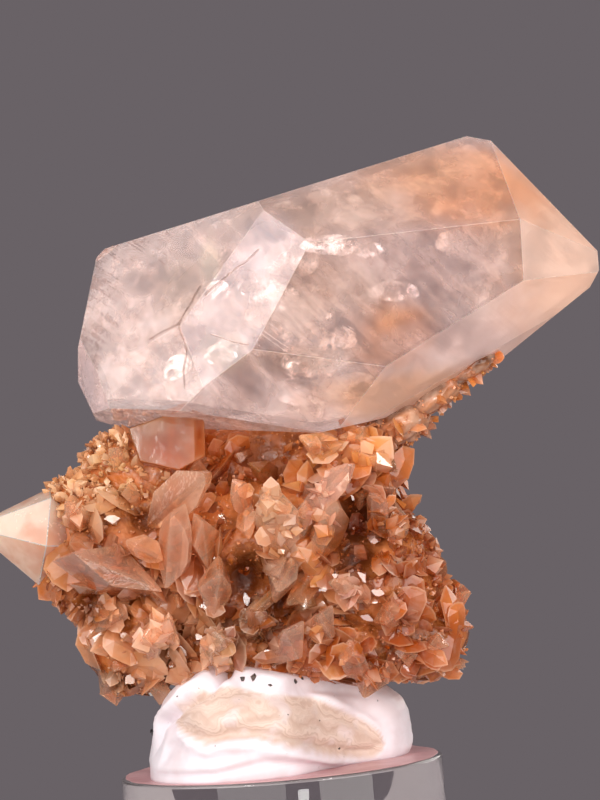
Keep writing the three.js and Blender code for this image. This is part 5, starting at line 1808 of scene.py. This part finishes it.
def white_putty():
    """Matt white; in the smear, cream with tan lines that follow its flow; small dirt specks."""
    material, tree, shader, place = new_material(
        "white_putty", Subsurface_Weight=0.25, Subsurface_Scale=0.003, Subsurface_Radius=(1.0, 0.85, 0.85))
    cloud = clouds(tree, place, scale=110.0, swirl=0.01, low=0.35, high=0.65)
    colour = mix(tree, cloud, linear(232, 218, 222), linear(246, 238, 244))
    smear, wander = carried(tree, "smear"), noise(tree, place, scale=230.0, detail=3.0)
    across = plus(tree, carried(tree, "flow"), times(tree, wander, FLOW_WANDER))
    band = span(tree, band_noise(tree, across, scale=5.0), low=0.3, high=0.7)
    cream = mix(tree, band, linear(204, 174, 156), linear(226, 202, 187))
    thin = span(tree, band_noise(tree, across, scale=16.0), low=0.55, high=0.8)
    cream = mix(tree, times(tree, thin, THIN_LINES), cream, linear(174, 138, 114))
    patchy = times(tree, smear, span(tree, wander, low=0.3, high=0.5, to_low=0.55, to_high=0.95))
    colour = mix(tree, patchy, colour, cream)
    dirt = span(tree, noise(tree, place, scale=1500.0), low=0.74, high=0.8, to_low=0.0, to_high=0.7)
    paint(tree, shader, mix(tree, dirt, colour, linear(60, 50, 50)))
    worn = wear(tree, shader, place, scale=900.0, polish=0.38, dull=0.6)
    flow_relief = times(tree, band, times(tree, smear, BAND_RELIEF))
    relief = plus(tree, times(tree, worn["Height"], PUTTY_WEAR), flow_relief)
    bump(tree, shader, relief, distance=0.0003)
    return material


def clear_acrylic():
    """Polished clear plastic, a little grey, with light wear from handling."""
    material, tree, shader, _ = cloudy(
        "clear_acrylic", worn=dict(scale=500.0, polish=0.0, dull=0.035), Transmission_Weight=1.0, IOR=1.49,
        Base_Color=(0.78, 0.73, 0.75, 1.0))
    lets_lamps_through(tree, shader, share=0.9, colour=(0.95, 0.92, 0.92, 1.0))
    return material


ROSY_RESIDUE = cloudy(
    "rosy_residue", cloud=dict(scale=160.0, swirl=0.01, low=0.3, high=0.7),
    tones=((190, 140, 142), (206, 162, 164)), worn=dict(scale=700.0, polish=0.35, dull=0.6))[0]
DARK_GRIT = cloudy(
    "dark_grit", cloud=dict(scale=1200.0, swirl=0.001, low=0.4, high=0.6),
    tones=((28, 24, 26), (92, 76, 70)), worn=dict(scale=2500.0, polish=0.2, dull=0.7))[0]
PALE_FLOOR = cloudy(
    "pale_floor", worn=dict(scale=300.0, polish=0.6, dull=0.75), Base_Color=(0.62, 0.6, 0.6, 1.0))[0]
dress(white_putty(), putty)
dress(ROSY_RESIDUE, residue, crumbs)
dress(DARK_GRIT, grit)
dress(clear_acrylic(), stand)
dress(PALE_FLOOR, floor)

# %% [markdown]
# The last step ties every piece to the imported model: what it rides on, and which imported solid it stands
# for, which is then hidden.

# %% Ties to the imported model
TIES = {
    ("calcite_crystal", "clear_calcite"): (large, films, milk),
    ("point_crystal", "pale_point_calcite"): (point,),
    ("druse_matrix", "peach_druse"): (
        rock, crust, blades, block, sheaf, fine, overgrowth, granules, glints, grains),
    ("putty", "white_putty"): (putty, crumbs, residue, grit),
    ("acrylic_base", "clear_acrylic"): (stand,),
}
for (node, slot), pieces in TIES.items():
    for piece in pieces:
        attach(piece, "root")
        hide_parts(node)
